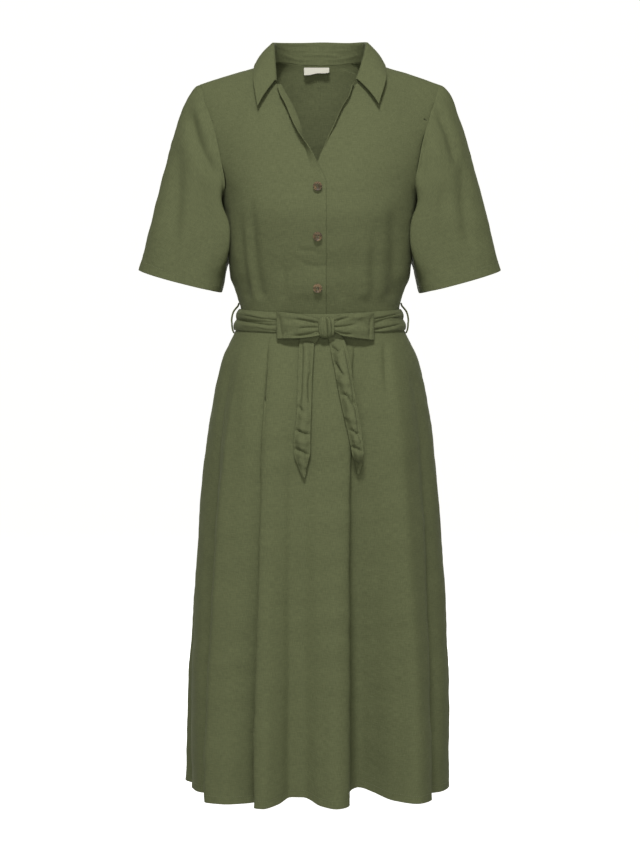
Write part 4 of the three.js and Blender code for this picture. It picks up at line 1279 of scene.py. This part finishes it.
def thread_look():
    return shared_material("thread", thread_material, tuple(cloth_settings().thread))


def hem_stitches(name, grid, row):
    """Stitches on the outside of the cloth along one row of its grid."""
    normals = grid_normals(grid)[row]
    thickness = cloth_settings().thickness / MM
    rows = [(grid[row] + normals * thickness / 2, normals, STITCH_RISE)]
    return dress(sewing(name, rows), thread_look(), "dress_cloth")


class DRESS_OT_bodice(bpy.types.Operator):
    """Makes the two fronts and the back of the bodice"""

    bl_idname = "dress.bodice"
    bl_label = "Bodice"

    def execute(self, context):
        for side, name in ((VIEWER_LEFT, "right"), (VIEWER_RIGHT, "left")):
            main, lap = bodice_front(side)
            plain = facing(main, FACED_FROM["bodice"])
            made = at_neck(at_waist(creased(plain, UPPER_FRONT_CREASES), plain), plain)
            turned = main[0, 0, 0] != plain[0, 0, 0]
            edge = made[:, -1] if turned else made[:, 0]
            base = main[:, 0]
            move = (edge - base)[len(base) - len(lap):]
            lap = lap + move[:, None]
            lap = lap[:, ::-1] if turned else lap
            piece = cloth_piece(f"front_{name}", [made, lap], "dress_cloth", f"bodice_front_{name}")
        halves = [facing(half, FACED_FROM["bodice"]) for half in bodice_back()]
        made = [at_neck(at_waist(creased(half, None, UPPER_BACK_CREASES), half), half) for half in halves]
        piece = cloth_piece("back", made, "dress_cloth", "bodice_back")
        return {"FINISHED"}


class DRESS_OT_collar(bpy.types.Operator):
    """Makes the collar, standing at the back and turned down"""

    bl_idname = "dress.collar"
    bl_label = "Collar"

    def execute(self, context):
        plain = collar_grid()[:, ::-1]
        made = at_neck(creased(plain, None, COLLAR_CREASES, calm=0.5, seed=11), plain)
        piece = cloth_piece("collar_leaf", [made], "collar_cloth", "collar")
        return {"FINISHED"}


class DRESS_OT_sleeves(bpy.types.Operator):
    """Makes the two sleeves with their turned hems"""

    bl_idname = "dress.sleeves"
    bl_label = "Sleeves"

    def execute(self, context):
        for name, (side, outer, inner) in SLEEVES.items():
            grid, steps, under = sleeve(side, outer, inner)
            plain = facing(grid, np.multiply(FACED_FROM["sleeve"], (side, 1, 1)))
            made = creased(plain, UPPER_FRONT_CREASES, UPPER_BACK_CREASES)
            settle = smoothstep(steps, 0, 0.05)[:, None, None]
            made = lerp(plain, made, settle)
            made = clear_of_torso(made, steps[:, None], under[None])
            made[:, -1] = made[:, 0]
            piece = cloth_piece(f"{name}_cloth", [made], "dress_cloth", name)
            row = int(np.searchsorted(steps, SLEEVE_STITCH_SHARE))
            hem = hem_stitches(f"{name}_stitches", made, row)
        return {"FINISHED"}


class DRESS_OT_skirt(bpy.types.Operator):
    """Makes the front and back of the skirt with their turned hems"""

    bl_idname = "dress.skirt"
    bl_label = "Skirt"

    def execute(self, context):
        row = int(np.searchsorted(SKIRT_LEVELS, HEM - HEM_STITCH_HEIGHT))
        for name, folds, creases in (
            ("skirt_front", front_folds, (SKIRT_FRONT_CREASES, None)),
            ("skirt_back", back_folds, (None, SKIRT_BACK_CREASES)),
        ):
            plain = facing(skirt_panel(folds), FACED_FROM["skirt"])
            made = at_waist(creased(plain, *creases), plain)
            piece = cloth_piece(f"{name}_cloth", [made], "dress_cloth", name)
            hem = hem_stitches(f"{name}_stitches", made, row)
        return {"FINISHED"}


class DRESS_OT_belt(bpy.types.Operator):
    """Makes the belt and the thin carriers that hold it"""

    bl_idname = "dress.belt"
    bl_label = "Belt"

    def execute(self, context):
        plain = facing(belt_band(), FACED_FROM["belt"])
        made = creased(plain, BELT_CREASES, BELT_BACK_CREASES, calm=0.35, seed=21)
        made[:, -1] = made[:, 0]
        piece = cloth_piece("belt", [made], "belt_cloth", "belt_band")
        for side, name in ((VIEWER_LEFT, "belt_loop_right"), (VIEWER_RIGHT, "belt_loop_left")):
            plain = facing(carrier_grid(side), FACED_FROM["carrier"])
            carrier = cloth_piece(f"{name}_cloth", [plain], "belt_cloth", name, CARRIER_THICKNESS)
        return {"FINISHED"}


class DRESS_OT_bow(bpy.types.Operator):
    """Makes the knot, loops and hanging ends of the bow"""

    bl_idname = "dress.bow"
    bl_label = "Bow"

    def execute(self, context):
        knot = facing(knot_grid(), (KNOT_X, BOW_Y, KNOT_Z))
        knot = creased(knot, KNOT_CREASES, calm=0.3, seed=31)
        knot[-1] = knot[0]
        piece = cloth_piece("knot", [knot], "belt_cloth", "belt_knot")
        for name, sizes in BOW_ENDS.items():
            plain = facing(bow_loop_grid(*sizes), ((KNOT_X + sizes[0]) / 2, BOW_Y, KNOT_Z))
            made = creased(plain, BOW_CREASES, calm=0.35, seed=33)
            piece = cloth_piece(f"{name}_cloth", [made], "belt_cloth", name)
        for name, sizes in BELT_ENDS.items():
            plain = facing(belt_end(*sizes), FACED_FROM["belt_end"])
            made = creased(plain, END_CREASES, calm=0.35, seed=35)
            piece = cloth_piece(f"{name}_cloth", [made], "belt_cloth", name)
        return {"FINISHED"}


class DRESS_OT_buttons(bpy.types.Operator):
    """Makes the three four-hole buttons and their thread"""

    bl_idname = "dress.buttons"
    bl_label = "Buttons"

    def execute(self, context):
        settings = context.scene.dress_buttons
        colours = [tuple(colour) for colour in (settings.light, settings.middle, settings.dark)]
        horn = shared_material("horn", horn_material, *colours)
        master = self.disc(settings.hole)
        thread = self.thread()
        for name, drop in BUTTON_DROPS.items():
            seat = bodice_point(bodice_angle(BUTTON_X, float(drop)), float(drop), LAYERS[VIEWER_LEFT]) * MM
            turned = Matrix.Translation(seat - np.array([0, BUTTON_RISE * MM, 0]))
            turned = turned @ Matrix.Rotation(math.radians(90), 4, "X")
            turn = BUTTON_TURN + MIDDLE_BUTTON_TURN * (name == "button_middle")
            turned = turned @ Matrix.Rotation(math.radians(turn), 4, "Z")
            for shape, ending, material, slot in (
                (master, "disc", horn, "button"),
                (thread, "thread", thread_look(), "dress_cloth"),
            ):
                copy = placed(f"{name}_{ending}", shape.data.copy())
                copy.data.transform(turned)
                dress(copy, material, slot, *([name] if ending == "disc" else []))
        for shape in (master, thread):
            bpy.data.objects.remove(shape)
        return {"FINISHED"}

    @staticmethod
    def disc(hole):
        """A turned disc with a raised rim, facing +Z."""
        deselect()
        bpy.ops.mesh.primitive_cylinder_add(
            vertices=56, radius=BUTTON_RADIUS * MM, depth=BUTTON_THICKNESS * MM
        )
        made = bpy.context.object
        bpy.ops.object.mode_set(mode="EDIT")
        select_parts(made.data, "faces", lambda face: face.normal.z > 0.9)
        bpy.ops.mesh.inset(thickness=BUTTON_RIM * MM, depth=0.0)
        bpy.ops.mesh.inset(thickness=BUTTON_DISH_SLOPE * MM, depth=-BUTTON_DISH_DEPTH * MM)
        select_parts(made.data, "faces", lambda face: face.normal.z < -0.9)
        bpy.ops.mesh.inset(thickness=BUTTON_BACK_SLOPE * MM, depth=BUTTON_BACK_RISE * MM)
        bpy.ops.object.mode_set(mode="OBJECT")
        for x in HOLE_OFFSETS:
            for y in HOLE_OFFSETS:
                deselect()
                bpy.ops.mesh.primitive_cylinder_add(
                    vertices=20, radius=hole, depth=6 * MM, location=(x * MM, y * MM, 0)
                )
                cutter = bpy.context.object
                cut = made.modifiers.new("hole", "BOOLEAN")
                cut.operation, cut.object, cut.solver = "DIFFERENCE", cutter, "EXACT"
                deselect()
                made.select_set(True)
                bpy.context.view_layer.objects.active = made
                bpy.ops.object.modifier_apply(modifier=cut.name)
                bpy.data.objects.remove(cutter)
        soft = made.modifiers.new("edge", "BEVEL")
        soft.width, soft.segments, soft.limit_method = BUTTON_EDGE * MM, 3, "ANGLE"
        soft.angle_limit = math.radians(35)
        bpy.ops.object.modifier_apply(modifier=soft.name)
        bpy.ops.object.shade_smooth_by_angle(angle=math.radians(40))
        return made

    @staticmethod
    def thread():
        """Two bars of thread from hole to hole, of two strands each, facing +Z."""
        rows = []
        for y in HOLE_OFFSETS:
            for shift in (-0.28, 0.28):
                x = np.linspace(-2.0, 2.0, 9)
                z = 0.75 - 1.6 * np.maximum(np.abs(x) - 1.1, 0) ** 1.5
                line, up = point(x, y + shift, z), point(0 * x, 0 * x, 0 * x + 1)
                rows.append((line, up, 0.0, *BUTTON_THREAD))
        return sewing("button thread", rows)


class DRESS_OT_label(bpy.types.Operator):
    """Makes the bare label inside the back neck"""

    bl_idname = "dress.label"
    bl_label = "Label"

    def execute(self, context):
        piece = wall("label", [facing(label_grid(), FACED_FROM["label"])], LABEL_THICKNESS)
        satin = shared_material("label satin", label_material, tuple(cloth_settings().label))
        dress(piece, satin, "label", "neck_label")
        return {"FINISHED"}


class DRESS_OT_studio(bpy.types.Operator):
    """Makes the floor, the light and the camera"""

    bl_idname = "dress.studio"
    bl_label = "Studio"

    def execute(self, context):
        settings = context.scene.dress_studio
        world = bpy.data.worlds.new("studio")
        context.scene.world = world
        world.use_nodes = True
        nodes, links = world.node_tree.nodes, world.node_tree.links
        around = nodes["Background"]
        around.inputs["Color"].default_value = (1, 1, 0.8, 1)
        around.inputs["Strength"].default_value = settings.surround
        seen = nodes.new("ShaderNodeBackground")
        seen.inputs["Color"].default_value = (1, 1, 1, 1)
        mixed, path = nodes.new("ShaderNodeMixShader"), nodes.new("ShaderNodeLightPath")
        links.new(path.outputs["Is Camera Ray"], mixed.inputs[0])
        links.new(around.outputs[0], mixed.inputs[1])
        links.new(seen.outputs[0], mixed.inputs[2])
        links.new(mixed.outputs[0], nodes["World Output"].inputs["Surface"])
        self.floor(settings.floor)
        for name, power in (("key", settings.key), ("fill", settings.fill), ("back", BACK_LIGHT_POWER)):
            self.light(name, power, *LIGHTS[name])
        camera = bpy.data.cameras.new("camera")
        camera.lens = settings.lens
        camera.sensor_width = 36
        camera.clip_end = 50
        holder = placed("camera", camera)
        holder.location = (0, -settings.distance, CAMERA_LEVEL)
        holder.rotation_euler = (math.radians(90), 0, 0)
        context.scene.camera = holder
        context.scene.view_settings.view_transform = "Standard"
        return {"FINISHED"}

    @staticmethod
    def floor(level):
        """Studio paper that lies flat and sweeps up behind."""
        deselect()
        bpy.ops.mesh.primitive_plane_add(size=PAPER_SIZE, location=(0, 0, level))
        paper = bpy.context.object
        paper.name = "floor"
        bpy.ops.object.mode_set(mode="EDIT")
        far = PAPER_SIZE / 2 - 1
        select_parts(paper.data, "edges", lambda edge: all(end.co.y > far for end in edge.verts))
        bpy.ops.mesh.extrude_region_move(TRANSFORM_OT_translate={"value": (0, 0, PAPER_HEIGHT)})
        select_parts(
            paper.data, "edges", lambda edge: all(end.co.y > far and end.co.z < 0.1 for end in edge.verts)
        )
        bpy.ops.mesh.bevel(offset=PAPER_SWEEP, segments=16)
        bpy.ops.object.mode_set(mode="OBJECT")
        bpy.ops.object.transform_apply(location=True, rotation=True, scale=True)
        bpy.ops.object.shade_smooth()
        paper.data.materials.append(shared_material("studio paper", paper_material, (0.93, 0.93, 0.93)))
        paper.visible_diffuse = False

    @staticmethod
    def light(name, power, size, place):
        lamp = bpy.data.lights.new(name, "AREA")
        lamp.energy = power
        lamp.size = size
        holder = placed(name, lamp)
        holder.location = place
        aim = Matrix.Translation((0, 0, AIM_LEVEL)).translation - holder.location
        holder.rotation_euler = aim.to_track_quat("-Z", "Y").to_euler()


OPERATORS = (
    DRESS_OT_bodice,
    DRESS_OT_collar,
    DRESS_OT_sleeves,
    DRESS_OT_skirt,
    DRESS_OT_belt,
    DRESS_OT_bow,
    DRESS_OT_buttons,
    DRESS_OT_label,
    DRESS_OT_studio,
)
GROUPS = {"dress_cloth": DressCloth, "dress_buttons": DressButtons, "dress_studio": DressStudio}


class DRESS_PT_panel(bpy.types.Panel):
    """Lists the pieces of the dress and their settings"""

    bl_label = "Shirt dress"
    bl_idname = "DRESS_PT_panel"
    bl_space_type = "VIEW_3D"
    bl_region_type = "UI"
    bl_category = "Dress"

    def draw(self, context):
        for group in GROUPS:
            settings = getattr(context.scene, group)
            box = self.layout.box()
            for name in settings.__annotations__:
                box.prop(settings, name)
        for operator in OPERATORS:
            self.layout.operator(operator.bl_idname)


def register():
    for name, group in GROUPS.items():
        bpy.utils.register_class(group)
        setattr(bpy.types.Scene, name, bpy.props.PointerProperty(type=group))
    for operator in OPERATORS:
        bpy.utils.register_class(operator)
    bpy.utils.register_class(DRESS_PT_panel)


def unregister():
    bpy.utils.unregister_class(DRESS_PT_panel)
    for operator in reversed(OPERATORS):
        bpy.utils.unregister_class(operator)
    for name, group in GROUPS.items():
        delattr(bpy.types.Scene, name)
        bpy.utils.unregister_class(group)


def main():
    register()
    for operator in OPERATORS:
        group, call = operator.bl_idname.split(".")
        getattr(getattr(bpy.ops, group), call)()
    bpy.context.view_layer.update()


if __name__ == "__main__":
    main()
